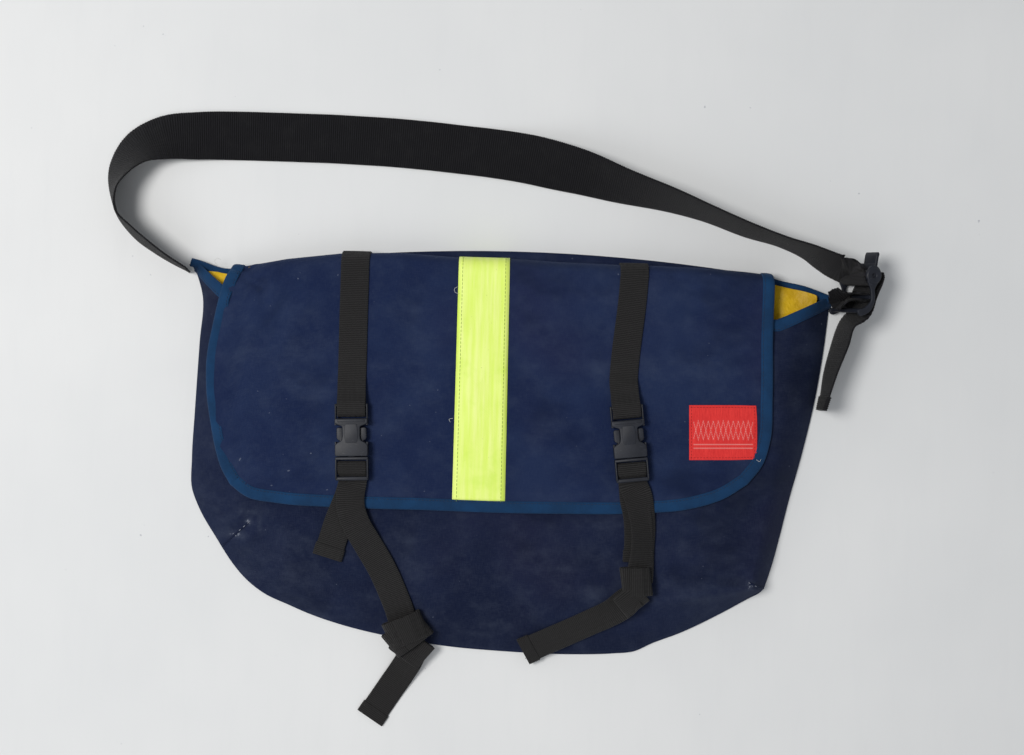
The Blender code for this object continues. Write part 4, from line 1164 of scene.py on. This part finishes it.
# Webbing at the buckles, as (along, height) in the buckle's frame.
SOCKET_LOOP = [(0.0655, -0.0041), (0.0620, -0.0029), (0.0580, -0.0023),
               (0.0510, 0.0006), (0.0472, 0.0026), (0.0446, 0.0030), (0.0410, 0.0032),
               (0.0378, 0.0028), (0.0358, 0.0014), (0.0353, -0.0004), (0.0360, -0.0022),
               (0.0386, -0.0034), (0.0430, -0.0039), (0.0485, -0.0045), (0.0550, -0.0046)]
LADDER_TURN = [(-0.0052, -0.0008), (-0.0053, 0.0014), (-0.0070, 0.0027), (-0.0098, 0.0028),
               (-0.0129, 0.0026), (-0.0150, 0.0008), (-0.0161, -0.0010), (-0.0185, -0.0023),
               (-0.0225, -0.0024)]
LADDER_FEED = [(-0.0052, -0.0014), (-0.0053, -0.0028), (-0.0070, -0.0042), (-0.0100, -0.0045),
               (-0.0220, -0.0045)]

# The loose tails: where each hangs, its two knot turns, and its free end.
TAILS = {
    "left": {
        "hang": [((-0.1375, -0.034, 0.0364), (1, 0.02, 0)),
                 ((-0.1370, -0.048, 0.0367), (1, 0.02, 0)),
                 ((-0.1325, -0.061, 0.0357), (1, 0.18, 0.05)),
                 ((-0.1220, -0.079, 0.0340), (1, 0.44, 0)),
                 ((-0.1095, -0.100, 0.0322), (1, 0.46, 0)),
                 ((-0.0985, -0.124, 0.0290), (1, 0.46, -0.03)),
                 ((-0.0915, -0.144, 0.0235), (1, 0.44, -0.03)),
                 ((-0.0885, -0.160, 0.0200), (1, 0.44, 0))],
        "rings": [{"centre": (-0.0855, -0.1605, 0.0212), "along": (0.79, 0.61, 0.03),
                   "across": (-0.61, 0.77, 0.20), "half": 0.0185, "deep": 0.0058},
                  {"centre": (-0.0868, -0.1560, 0.0226), "along": (0.91, 0.41, 0.02),
                   "across": (-0.41, 0.89, 0.20), "half": 0.0170, "deep": 0.0068}],
        "turn": {"start": (-0.0935, -0.1650, 0.0200), "end": (-0.0715, -0.1815, 0.0160),
                 "across": (0.62, 0.77, 0.12), "deep": 0.0040},
        "end": [((-0.0800, -0.1740, 0.0130), (0.88, -0.46, 0.05)),
                ((-0.0835, -0.1840, 0.0090), (0.88, -0.47, 0.05)),
                ((-0.0905, -0.1965, 0.0045), (0.87, -0.49, 0.02)),
                ((-0.0985, -0.2090, 0.0021), (0.86, -0.50, 0)),
                ((-0.1190, -0.2405, 0.0014), (0.88, -0.46, 0))],
    },
    "right": {
        "hang": [((0.1150, -0.031, 0.0363), (1, 0.10, -0.06)),
                 ((0.1185, -0.045, 0.0367), (0.94, 0.08, -0.30)),
                 ((0.1205, -0.060, 0.0366), (0.88, 0.0, -0.46)),
                 ((0.1203, -0.078, 0.0364), (0.86, 0.0, -0.50)),
                 ((0.1192, -0.092, 0.0365), (0.92, -0.10, -0.36)),
                 ((0.1175, -0.106, 0.0360), (1, -0.10, 0))],
        "rings": [{"centre": (0.1155, -0.1065, 0.0365), "along": (0.99, 0.04, 0.0),
                   "across": (-0.16, 0.99, 0.10), "half": 0.0124, "deep": 0.0046}],
        "turn": {"start": (0.1060, -0.1160, 0.0395), "end": (0.1165, -0.1290, 0.0350),
                 "across": (0.76, 0.64, 0.05), "deep": 0.0034},
        "end": [((0.1150, -0.1180, 0.0335), (0.50, 0.85, 0.15)),
                ((0.1000, -0.1330, 0.0265), (0.40, 0.88, 0.28)),
                ((0.0750, -0.1470, 0.0205), (0.40, 0.88, 0.32)),
                ((0.0480, -0.1605, 0.0155), (0.41, 0.88, 0.30)),
                ((0.0180, -0.1755, 0.0105), (0.46, 0.87, 0.26))],
    },
}

ANCHORS = {
    "left": [((-0.1385, -0.035, 0.0346), (1, 0.02, 0)),
             ((-0.1430, -0.048, 0.0348), (0.98, -0.10, 0)),
             ((-0.1480, -0.061, 0.0336), (0.97, -0.18, 0)),
             ((-0.1520, -0.074, 0.0318), (0.97, -0.20, 0)),
             ((-0.1550, -0.084, 0.0314), (0.97, -0.22, 0)),
             ((-0.1575, -0.0925, 0.0302), (0.97, -0.22, 0))],
    "right": [((0.1120, -0.035, 0.0346), (1, 0.04, 0)),
              ((0.1150, -0.048, 0.0348), (1, 0.02, 0)),
              ((0.1165, -0.061, 0.0334), (1, 0.0, 0)),
              ((0.1170, -0.078, 0.0313), (1, 0.0, 0)),
              ((0.1170, -0.090, 0.0313), (1, 0.0, 0))],
}

SHOULDER_ROUTE = [
    ((-0.2890, 0.1590, 0.0228), (0.05, 0.08, 1.0)),
    ((-0.2915, 0.1605, 0.0230), (0.05, 0.08, 1.0)),
    ((-0.3050, 0.1680, 0.0230), (0.06, 0.12, 1.0)),
    ((-0.3220, 0.1790, 0.0228), (0.08, 0.18, 1.0)),
    ((-0.3390, 0.1920, 0.0225), (0.12, 0.20, 1.0)),
    ((-0.3525, 0.2070, 0.0225), (0.20, 0.05, 1.0)),
    ((-0.3565, 0.2270, 0.0215), (0.36, -0.06, 0.95)),
    ((-0.3515, 0.2490, 0.0185), (0.62, -0.30, 0.80)),
    ((-0.3370, 0.2680, 0.0140), (0.55, -0.60, 0.52)),
    ((-0.3150, 0.2780, 0.0085), (0.22, -0.90, 0.30)),
    ((-0.2850, 0.2815, 0.0040), (0.06, -1.0, 0.10)),
    ((-0.2500, 0.2825, 0.0016), (0.0, -1.0, 0.0)),
    ((-0.1950, 0.2820, 0.0014), (-0.01, -1.0, 0.0)),
    ((-0.1400, 0.2810, 0.0014), (-0.05, -1.0, 0.0)),
    ((-0.0850, 0.2780, 0.0014), (-0.10, -1.0, 0.0)),
    ((-0.0330, 0.2735, 0.0014), (-0.14, -1.0, 0.0)),
    ((0.0130, 0.2670, 0.0050), (-0.26, -0.95, -0.18)),
    ((0.0580, 0.2560, 0.0125), (-0.32, -0.77, -0.55)),
    ((0.0990, 0.2430, 0.0185), (-0.24, -0.54, -0.81)),
    ((0.1380, 0.2320, 0.0212), (-0.15, -0.34, -0.93)),
    ((0.1720, 0.2205, 0.0221), (-0.08, -0.20, -0.98)),
    ((0.2100, 0.2060, 0.0224), (-0.05, -0.15, -0.99)),
    ((0.2420, 0.1960, 0.0226), (-0.03, -0.09, -1.0)),
    ((0.2640, 0.1880, 0.0228), (-0.07, -0.17, -0.98)),
    ((0.2790, 0.1800, 0.0232), (-0.15, -0.27, -0.95)),
    ((0.2920, 0.1740, 0.0240), (-0.26, -0.27, -0.93)),
]
SHOULDER_TAIL = [
    ((0.3000, 0.1268, 0.0226), (-0.16, 0.02, -0.99)),
    ((0.2920, 0.1039, 0.0225), (-0.14, -0.02, -0.99)),
    ((0.2850, 0.0811, 0.0225), (-0.06, -0.02, -1.0)),
    ((0.2800, 0.0581, 0.0225), (0.05, 0.0, -1.0)),
    ((0.2775, 0.0479, 0.0225), (0.08, 0.0, -1.0)),
]

# The strap inside the cam buckle and the anchor round its bar, in the buckle's plane.
CAM_LOOP = [(-0.0067, 0.0015), (-0.0055, -0.0045), (-0.0015, -0.0078), (0.0045, -0.0074),
            (0.0085, -0.0040), (0.0098, 0.0010), (0.0109, 0.0030), (0.0121, 0.0008),
            (0.0114, -0.0055), (0.0085, -0.0130), (0.0058, -0.0210), (0.0020, -0.0330)]
ANCHOR_LOOP = [(-0.0010, -0.0162), (0.0018, -0.0166), (0.0031, -0.0190), (0.0018, -0.0216),
               (-0.0010, -0.0220), (-0.0060, -0.0212)]
CAM_ANCHOR_OUT = [((0.2845, 0.1440, 0.0185), (0.02, 0.55, 0.83)),
                  ((0.2905, 0.1468, 0.0195), (0.08, 0.60, 0.80)),
                  ((0.2965, 0.1500, 0.0225), (0.17, 0.46, 0.87))]
CAM_ANCHOR_BACK = [((0.2935, 0.1432, 0.0212), (0.14, 0.46, 0.88))]
CAM_PIVOT = Vector((0.3068, 0.1680, 0.0272))
CAM_BARS = Vector((0.30, -0.06, 0.95))
CAM_LENGTHWISE = Vector((0.03, 1.0, 0.0))
CHEEK_SPACING = 0.0452
CHEEK_THICKNESS = 0.0025


# Width, thickness, rib pitch, material and slot of each webbing.
NARROW = (WEBBING, WEBBING_THICK, RIB_PITCH, WEB, "webbing")
WIDE = (SHOULDER, SHOULDER_THICK, SHOULDER_RIB_PITCH, SHOULDER_WEB, "shoulder_webbing")
HEM, SHOULDER_HEM = 0.0102, 0.012


def tape_section(width, thickness):
    """A flat tape's outline as (aside, height) points, with rounded edges."""
    half, round_off = width / 2, thickness / 2
    asides = np.linspace(half - round_off, round_off - half, 11)
    top = [(x, round_off * (1 - 0.12 * abs(x / half) ** 4)) for x in asides]
    turns = [math.radians(angle) for angle in (120, 160, 200, 240)]
    left = [(round_off - half + round_off * math.cos(a), 0.88 * round_off * math.sin(a))
            for a in turns]
    lower = [(-x, -z) for x, z in top]
    return top + left + lower + [(-x, -z) for x, z in left]


def ribbon(name, stations, tape, bodies, *nodes, hem=0.0):
    """Woven tape through stations of (centre, direction across), ribbed by its weft."""
    width, thickness, pitch, material, slot = tape
    rows = dense([(*centre, *across) for centre, across in stations], 10)
    step = pitch / 4
    rows = resample(rows, int(path_length(rows) / step))
    centres, across = rows[:, :3], rows[:, 3:]
    tangents = unit(np.gradient(centres, axis=0))
    across = unit(across - tangents * np.sum(across * tangents, axis=1, keepdims=True))
    normals = np.cross(tangents, across)
    along = np.arange(len(rows)) * step
    ribs = np.sin(2 * math.pi * along / pitch)[:, None]
    doubled, wider = 1.0, 1.0
    if hem:
        fold = smoothstep(along, along[-1] - hem - 0.0008, along[-1] - hem)[:, None]
        doubled, wider = 1 + 1.25 * fold, 1 + 0.075 * fold
    wander = 0.0002 * soft_noise(along, along * 0 + len(name), 0.030, 71)[:, None]
    swept = section_sweep(name, centres + across * wander, across * (1 + 0.010 * ribs) * wider,
                          normals * (1 + 0.17 * ribs) * doubled,
                          tape_section(width, thickness), material)
    assign(swept, bodies, slot, *nodes)
    return swept


def buckle_matrix(side):
    mouth, turn = BUCKLES[side]
    return Matrix.Translation((*mouth, BUCKLE_Z)) @ Matrix.Rotation(math.radians(turn), 4, "Z")


def in_plane(matrix, path, across, axis):
    """Stations of tape given by two coordinates in a matrix's frame."""
    turned = matrix.to_3x3() @ Vector(across)
    places = [matrix @ Vector((0, a, b) if axis == "yz" else (a, b, 0)) for a, b in path]
    return [(tuple(place), tuple(turned)) for place in places]


def on_buckle(side, path):
    return in_plane(buckle_matrix(side), path, (1, 0, 0), "yz")


def build_flap_strap(side, surface):
    """From under the fold, over it, down the flap and round the socket's bar."""
    loop = on_buckle(side, SOCKET_LOOP)
    top_x, low_x, low_y = FLAP_STRAP_X[side], loop[0][0][0], loop[0][0][1]
    x_of_y = lambda y: top_x + (low_x - top_x) * smoothstep(HINGE[1] - y, 0.0, 0.17 - low_y)
    run = laid_over(surface, x_of_y, low_y + 0.008, 0.0010, 34)
    stations = [(tuple(point), (1.0, 0.0, 0.0)) for point in run] + loop
    ribbon("webbing_flap_" + side, stations, NARROW, over_hinge,
           "flap_strap_" + side, "strap_root_" + side)


def ring_band(name, ring, bodies):
    """One turn of webbing round a knot, as a flattened loop."""
    centre, along = np.array(ring["centre"]), np.array(ring["along"])
    up = np.array((0.0, 0.0, 1.0))
    stations = []
    for angle in np.linspace(0.5 * math.pi, 2.62 * math.pi, 27):
        c, s = math.cos(angle), math.sin(angle)
        squared = (c * c * abs(c) + s * s * abs(s)) ** (-1 / 3)
        lift = 0.0011 if angle > 2.3 * math.pi else 0.0
        place = centre + along * ring["half"] * c * squared
        place = place + up * (ring["deep"] * s * squared + lift)
        stations.append((tuple(place), ring["across"]))
    ribbon(name, stations, NARROW, bodies)


def turned_band(name, turn, bodies):
    """Webbing that lies over a knot, turns under at its edge and runs back."""
    start, end = np.array(turn["start"]), np.array(turn["end"])
    way = unit(end - start)
    down = np.array((0.0, 0.0, -turn["deep"]))
    path = [start + down * 0.8 - way * 0.002, start, (start + end) / 2 + (0, 0, 0.0010), end,
            end + way * 0.0022 + down * 0.35, end + way * 0.0012 + down * 0.85,
            end - way * 0.0060 + down, start + way * 0.004 + down]
    stations = [(tuple(place), turn["across"]) for place in path]
    ribbon(name, stations, NARROW, bodies)


def build_tail(side):
    """The loose webbing under a ladder lock, with its knot and its free end."""
    tail, on_plug = TAILS[side], rides_on("plug_" + side)
    hang = on_buckle(side, LADDER_TURN) + tail["hang"]
    ribbon("webbing_tail_" + side, hang, NARROW, on_plug, "strap_tail_" + side)
    for number, ring in enumerate(tail["rings"]):
        ring_band(f"webbing_knot_ring_{side}_{number}", ring, on_plug)
    turned_band("webbing_knot_turn_" + side, tail["turn"], on_plug)
    ribbon("webbing_tail_end_" + side, tail["end"], NARROW, on_plug, hem=HEM)


def build_anchor(side):
    """The webbing from a ladder lock to where it is sewn down."""
    feed = on_buckle(side, LADDER_FEED) + ANCHORS[side]
    anchor = ribbon("webbing_anchor_" + side, feed, NARROW, rides_on("bag"),
                    "anchor_strap_" + side, hem=HEM)
    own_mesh(anchor)


def sew_hem(side):
    """The row of stitches across a tail's folded end."""
    before, last = TAILS[side]["end"][-2:]
    centre, across = np.array(last[0]), unit(np.array(last[1]))
    way = unit(centre - np.array(before[0]))
    up = np.cross(across, way) * np.sign(np.cross(across, way)[2])
    middle = centre - way * 0.0086 + up * (WEBBING_THICK * 0.98)
    line = np.linspace(middle - across * 0.011, middle + across * 0.011, 8)
    stitches("webbing_hem_stitches_" + side, [(line, np.tile(up, (8, 1)))], THREAD_BLACK,
             rides_on("plug_" + side), None, 0.0028, 0.0021, 0.0003)


def cam_matrix():
    """The buckle's frame: Z along its bars, Y from its foot towards the strap."""
    z_axis = CAM_BARS.normalized()
    y_axis = (CAM_LENGTHWISE - z_axis * z_axis.dot(CAM_LENGTHWISE)).normalized()
    x_axis = y_axis.cross(z_axis)
    turn = Matrix((x_axis, y_axis, z_axis)).transposed().to_4x4()
    return Matrix.Translation(CAM_PIVOT) @ turn


def build_shoulder_strap():
    """The long strap through the cam buckle, and the webbing that holds the buckle."""
    matrix = cam_matrix()
    stations = SHOULDER_ROUTE + in_plane(matrix, CAM_LOOP, (0, 0, -1), "xy") + SHOULDER_TAIL
    ribbon("webbing_shoulder", stations, WIDE, with_strap,
           "shoulder_strap", "strap_buckle_end", "shoulder_strap_tail", hem=SHOULDER_HEM)
    route = CAM_ANCHOR_OUT + in_plane(matrix, ANCHOR_LOOP, (0, 0, 1), "xy") + CAM_ANCHOR_BACK
    ribbon("webbing_cam_anchor", route, (CAM_ANCHOR, *WIDE[1:]), rides_on("bag"),
           "cam_anchor_webbing")


# ------------------------------------------------------------------ moulded plastic

def filleted(points, radius, steps=4):
    """A closed outline with each corner rounded off."""
    outline = []
    for before, corner, after in zip(points[-1:] + points[:-1], points, points[1:] + points[:1]):
        corner = np.array(corner, float)
        arms = [np.array(other, float) - corner for other in (before, after)]
        reach = [min(radius, 0.45 * np.linalg.norm(arm)) for arm in arms]
        start, end = (corner + unit(arm) * r for arm, r in zip(arms, reach))
        for t in np.linspace(0, 1, steps + 1):
            outline.append((1 - t) ** 2 * start + 2 * t * (1 - t) * corner + t * t * end)
    return np.array(outline)


def rectangle(x0, y0, x1, y1, radius=0.0006):
    return filleted([(x0, y0), (x1, y0), (x1, y1), (x0, y1)], radius)


def mirrored(side):
    """A closed outline from its right side, given from the bottom up. It starts at its left foot."""
    left = [(-x, y) for x, y in side]
    return left[:1] + side + left[:0:-1]


def plastic_piece(points, rings, count):
    """A closed form from rings of count points each, with its hard edges kept sharp."""
    points = np.array(points)
    piece = mesh_object("moulding", points, ring_faces(rings, count), points[:, :2], PLASTIC)
    piece.data.set_sharp_from_angle(angle=math.radians(38))
    return piece


def moulded(outline, low, high, bevel, matrix):
    """A plate cut to an outline, standing from low to high, with softened edges."""
    area = np.sum(outline[:, 0] * np.roll(outline[:, 1], -1)
                  - outline[:, 1] * np.roll(outline[:, 0], -1))
    outline = outline if area > 0 else outline[::-1]
    sides = unit(np.roll(outline, -1, axis=0) - outline + 1e-12)
    inward = np.column_stack([-sides[:, 1], sides[:, 0]])
    inward = unit(inward + np.roll(inward, 1, axis=0))
    quarter = [(1 - math.sin(a), 1 - math.cos(a)) for a in np.linspace(0, math.pi / 2, 4)]
    rings = [(bevel * inset, low + bevel * rise) for inset, rise in quarter]
    rings += [(inset, high - (z - low)) for inset, z in reversed(rings)]
    points = [matrix @ Vector((x, y, z)) for inset, z in rings for x, y in outline + inward * inset]
    return plastic_piece(points, len(rings), len(outline))


def turned(profile, matrix, steps=40):
    """A round piece from (radius, height) points, about the matrix's Z axis."""
    angles = np.arange(steps) * 2 * math.pi / steps
    points = [matrix @ Vector((radius * math.cos(angle), radius * math.sin(angle), z))
              for radius, z in profile for angle in angles]
    return plastic_piece(points, len(profile), steps)


def blocks(rows, matrix, sign=1):
    """Rectangular mouldings, one for each row, mirrored if sign is -1."""
    made = []
    for x0, x1, y0, y1, radius, low, high, bevel in rows:
        left, right = sorted((sign * x0, sign * x1))
        made.append(moulded(rectangle(left, y0, right, y1, radius), low, high, bevel, matrix))
    return made


# Outlines in the plane of the buckle, with Y along the webbing towards the fold.
SOCKET_FACE = mirrored([(0.0139, 0.0001), (0.0145, 0.0020), (0.0145, 0.0100), (0.0120, 0.0122),
                        (0.0084, 0.0140), (0.0077, 0.0180), (0.0079, 0.0262), (0.0120, 0.0276),
                        (0.0145, 0.0290), (0.0145, 0.0332)])
NECK_PAD = mirrored([(0.0052, 0.0120), (0.0062, 0.0200), (0.0052, 0.0285)])
PRONG_ARM = [(0.0077, 0.0003), (0.0103, 0.0003), (0.0103, 0.0135), (0.0122, 0.0144),
             (0.0130, 0.0160), (0.0130, 0.0245), (0.0118, 0.0254), (0.0077, 0.0250)]

# Blocks as x0, x1, y0, y1, corner radius, low, high, bevel. Those of a side are made twice.
SOCKET_BLOCKS = [(-0.0142, 0.0142, 0.0276, 0.0330, 0.0006, -0.0036, 0.0036, 0.0004),
                 (-0.0143, 0.0143, 0.0432, 0.0462, 0.0012, -0.0016, 0.0016, 0.0011),
                 (-0.0118, 0.0118, 0.0300, 0.0326, 0.0006, 0.0046, 0.0056, 0.0004)]
SOCKET_SIDE = [(0.0131, 0.0145, 0.0004, 0.0126, 0.0005, -0.0038, 0.0038, 0.0003),
               (0.0131, 0.0145, 0.0272, 0.0330, 0.0005, -0.0038, 0.0038, 0.0003),
               (0.0131, 0.0145, 0.0322, 0.0460, 0.0006, -0.0026, 0.0026, 0.0006)]
PLUG_BLOCKS = [(-0.0145, 0.0145, -0.0032, -0.0005, 0.0009, -0.0040, 0.0040, 0.0008),
               (-0.0138, 0.0138, -0.0121, -0.0075, 0.0010, -0.0015, 0.0015, 0.0011),
               (-0.0145, 0.0145, -0.0213, -0.0178, 0.0014, -0.0010, 0.0026, 0.0011),
               (-0.0031, 0.0031, -0.0012, 0.0198, 0.0014, -0.0015, 0.0015, 0.0005)]
PLUG_SIDE = [(0.0130, 0.0145, -0.0196, -0.0006, 0.0006, -0.0038, 0.0038, 0.0006)]
PRONG_RIBS = [(0.0126, 0.0133, along, along + 0.0009, 0.0002, -0.0016, 0.0016, 0.0002)
              for along in (0.0165, 0.0185, 0.0205, 0.0225)]


def build_socket(side):
    """Two faces with side notches, walls between them, and the bar for the webbing."""
    matrix = buckle_matrix(side)
    face = filleted(SOCKET_FACE, 0.0011)
    pieces = [moulded(face, 0.0032, 0.0050, 0.0008, matrix),
              moulded(face, -0.0050, -0.0032, 0.0008, matrix),
              moulded(filleted(NECK_PAD, 0.0016), 0.0046, 0.00535, 0.0004, matrix)]
    pieces += blocks(SOCKET_BLOCKS, matrix)
    for sign in (-1, 1):
        pieces += blocks(SOCKET_SIDE, matrix, sign)
    socket = join("buckle_socket_moulded_" + side, pieces)
    assign(socket, rides_on("flap"), "plastic", "buckle_socket_" + side)


def build_plug(side):
    """The ladder lock's three bars between its rails, and the tongue between the prongs."""
    matrix = buckle_matrix(side)
    pieces = blocks(PLUG_BLOCKS, matrix)
    for sign in (-1, 1):
        pieces += blocks(PLUG_SIDE, matrix, sign)
    plug = join("buckle_plug_moulded_" + side, pieces)
    assign(plug, rides_on("plug_" + side), "plastic", "buckle_plug_" + side)
    build_prong(side, "a", -1, matrix)
    build_prong(side, "b", 1, matrix)


def build_prong(side, label, sign, matrix):
    """A springy arm and its ribbed thumb pad."""
    outline = filleted([(sign * x, y) for x, y in PRONG_ARM], 0.0009)
    pieces = [moulded(outline, -0.0021, 0.0021, 0.0006, matrix)]
    pieces += blocks(PRONG_RIBS, matrix, sign)
    prong = join(f"buckle_prong_moulded_{side}_{label}", pieces)
    assign(prong, rides_on(f"prong_{side}_{label}"), "plastic", f"buckle_prong_{side}_{label}")


# The cam buckle, seen along its bars, with Y from its foot towards the strap.
CHEEK = [(-0.0068, 0.003), (-0.0040, 0.0075), (0.0030, 0.0080), (0.0068, 0.0035),
         (0.0066, -0.0030), (0.0040, -0.0075), (0.0022, -0.0120), (0.0030, -0.0175),
         (0.0028, -0.0240), (-0.0030, -0.0330), (-0.0110, -0.0355), (-0.0132, -0.0315),
         (-0.0065, -0.0285), (-0.0008, -0.0225), (-0.0008, -0.0170), (-0.0020, -0.0120),
         (-0.0050, -0.0060)]
BOSS = [(0.0070, 0.0003), (0.0070, 0.0029), (0.0064, 0.0034), (0.0026, 0.0034),
        (0.0021, 0.0029), (0.0019, 0.0012), (0.0004, 0.0012)]
# Each bar's place and radius.
CAM_BUCKLE_BARS = (((0.0, -0.0190), 0.0019), ((-0.0095, -0.0315), 0.0021))
BARREL_RADIUS, TOOTH_DEPTH, TOOTH_STEPS = 0.0049, 0.0006, 72
THUMB_BASE = [(0.0012, 0.0030), (0.0044, 0.0026), (0.0045, 0.0110), (0.0018, 0.0110)]
THUMB = [(0.0018, 0.0090), (0.0045, 0.0090), (0.0052, 0.0170), (0.0058, 0.0190),
         (0.0050, 0.0206), (0.0036, 0.0208), (0.0026, 0.0180)]
THUMB_LOW = 0.0030


def build_cam_frame(matrix, half):
    """Two cheeks with pivot bosses, and two bars."""
    outside = half + CHEEK_THICKNESS
    outline = dense(CHEEK + CHEEK[:1], 5)[:-1]
    pieces = [moulded(outline, half, outside, 0.0007, matrix),
              moulded(outline, -outside, -half, 0.0007, matrix),
              turned([(radius, -half - z) for radius, z in reversed(BOSS)], matrix),
              turned([(radius, half + z) for radius, z in BOSS], matrix)]
    for (x, y), radius in CAM_BUCKLE_BARS:
        ends = [(radius, -half - 0.0012), (radius * 0.94, -half * 0.4), (radius * 0.94, half * 0.4),
                (radius, half + 0.0012)]
        pieces.append(turned(ends, matrix @ Matrix.Translation((x, y, 0)), 20))
    cam_frame = join("cam_buckle_frame_moulded", pieces)
    assign(cam_frame, rides_on("bag"), "plastic", "cam_buckle_frame")


def barrel_outline():
    """The lever's round barrel, with teeth on the side that grips the strap."""
    outline = []
    for k in range(TOOTH_STEPS):
        angle = 2 * math.pi * k / TOOTH_STEPS
        toothed = 190 < math.degrees(angle) < 330 and k % 4 in (0, 1)
        radius = BARREL_RADIUS - (TOOTH_DEPTH if toothed else 0.0)
        outline.append((radius * math.cos(angle), radius * math.sin(angle)))
    return np.array(outline)


def build_cam_lever(matrix, reach):
    """The toothed barrel with its ribbed thumb tab."""
    pieces = [moulded(barrel_outline(), -reach, reach, 0.0003, matrix),
              moulded(filleted(THUMB_BASE, 0.0010), -reach, reach, 0.0006, matrix),
              moulded(filleted(THUMB, 0.0010), THUMB_LOW, reach, 0.0006, matrix)]
    ribs = [(0.0042, 0.0056, along, along + 0.0010, 0.0003, THUMB_LOW + 0.0020, reach - 0.0020,
             0.0003) for along in (0.0120, 0.0142, 0.0164)]
    lever = join("cam_lever_moulded", pieces + blocks(ribs, matrix))
    assign(lever, rides_on("cam_lever"), "plastic", "cam_lever")


# ------------------------------------------------------------------ loose threads

# Each thread's body, radius and points.
FRAYS = [
    ("flap", 0.00016, [(-0.0480, 0.1490, 0.0345), (-0.0505, 0.1470, 0.0352),
                       (-0.0500, 0.1440, 0.0350), (-0.0470, 0.1430, 0.0345)]),
    ("flap", 0.00016, [(-0.0490, 0.0330, 0.0345), (-0.0525, 0.0320, 0.0350),
                       (-0.0515, 0.0295, 0.0347)]),
    ("bag", 0.00015, [(-0.2640, 0.1640, 0.0140), (-0.2665, 0.1680, 0.0150),
                      (-0.2640, 0.1705, 0.0150), (-0.2610, 0.1690, 0.0140)]),
    ("flap", 0.00014, [(0.2190, 0.0030, 0.0338), (0.2215, 0.0015, 0.0345),
                       (0.2230, 0.0035, 0.0340)]),
]


def build_frays():
    """Short loose threads where stitching has worked out."""
    turns = [2 * math.pi * k / 6 for k in range(6)]
    for number, (body, radius, points) in enumerate(FRAYS):
        path = curve(points, 30)
        _, aside, up = frames(path, np.tile((0.0, 0.0, 1.0), (len(path), 1)))
        section = [(radius * math.cos(turn), radius * math.sin(turn)) for turn in turns]
        fray = section_sweep(f"fray_{number}", path, aside, up, section, THREAD_WHITE)
        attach(fray, body)


stage = bpy.context.scene
stage.view_settings.view_transform = "Standard"
make_camera(stage)
make_lights(stage)
make_floor(stage)
ring_points, front_points = build_shell()
back_points = build_back()
build_corner_seams(Surface(ring_points, front_points))
flap_points = build_flap_cloth(Surface(ring_points, front_points))
flap_surface = Surface(flap_points)
build_flap_binding(flap_points)
build_body_bindings(ring_points, front_points, back_points)
build_strip(flap_surface)
build_label(flap_surface)
for buckle_side in BUCKLES:
    build_flap_strap(buckle_side, flap_surface)
    build_socket(buckle_side)
    build_plug(buckle_side)
    build_tail(buckle_side)
    build_anchor(buckle_side)
    sew_hem(buckle_side)
build_shoulder_strap()
build_cam_frame(cam_matrix(), CHEEK_SPACING / 2)
build_cam_lever(cam_matrix(), CHEEK_SPACING / 2 - 0.0004)
build_frays()
pin_materials = bpy.data.objects["cam_pin"].data.materials
pin_materials.clear()
pin_materials.append(PLASTIC)
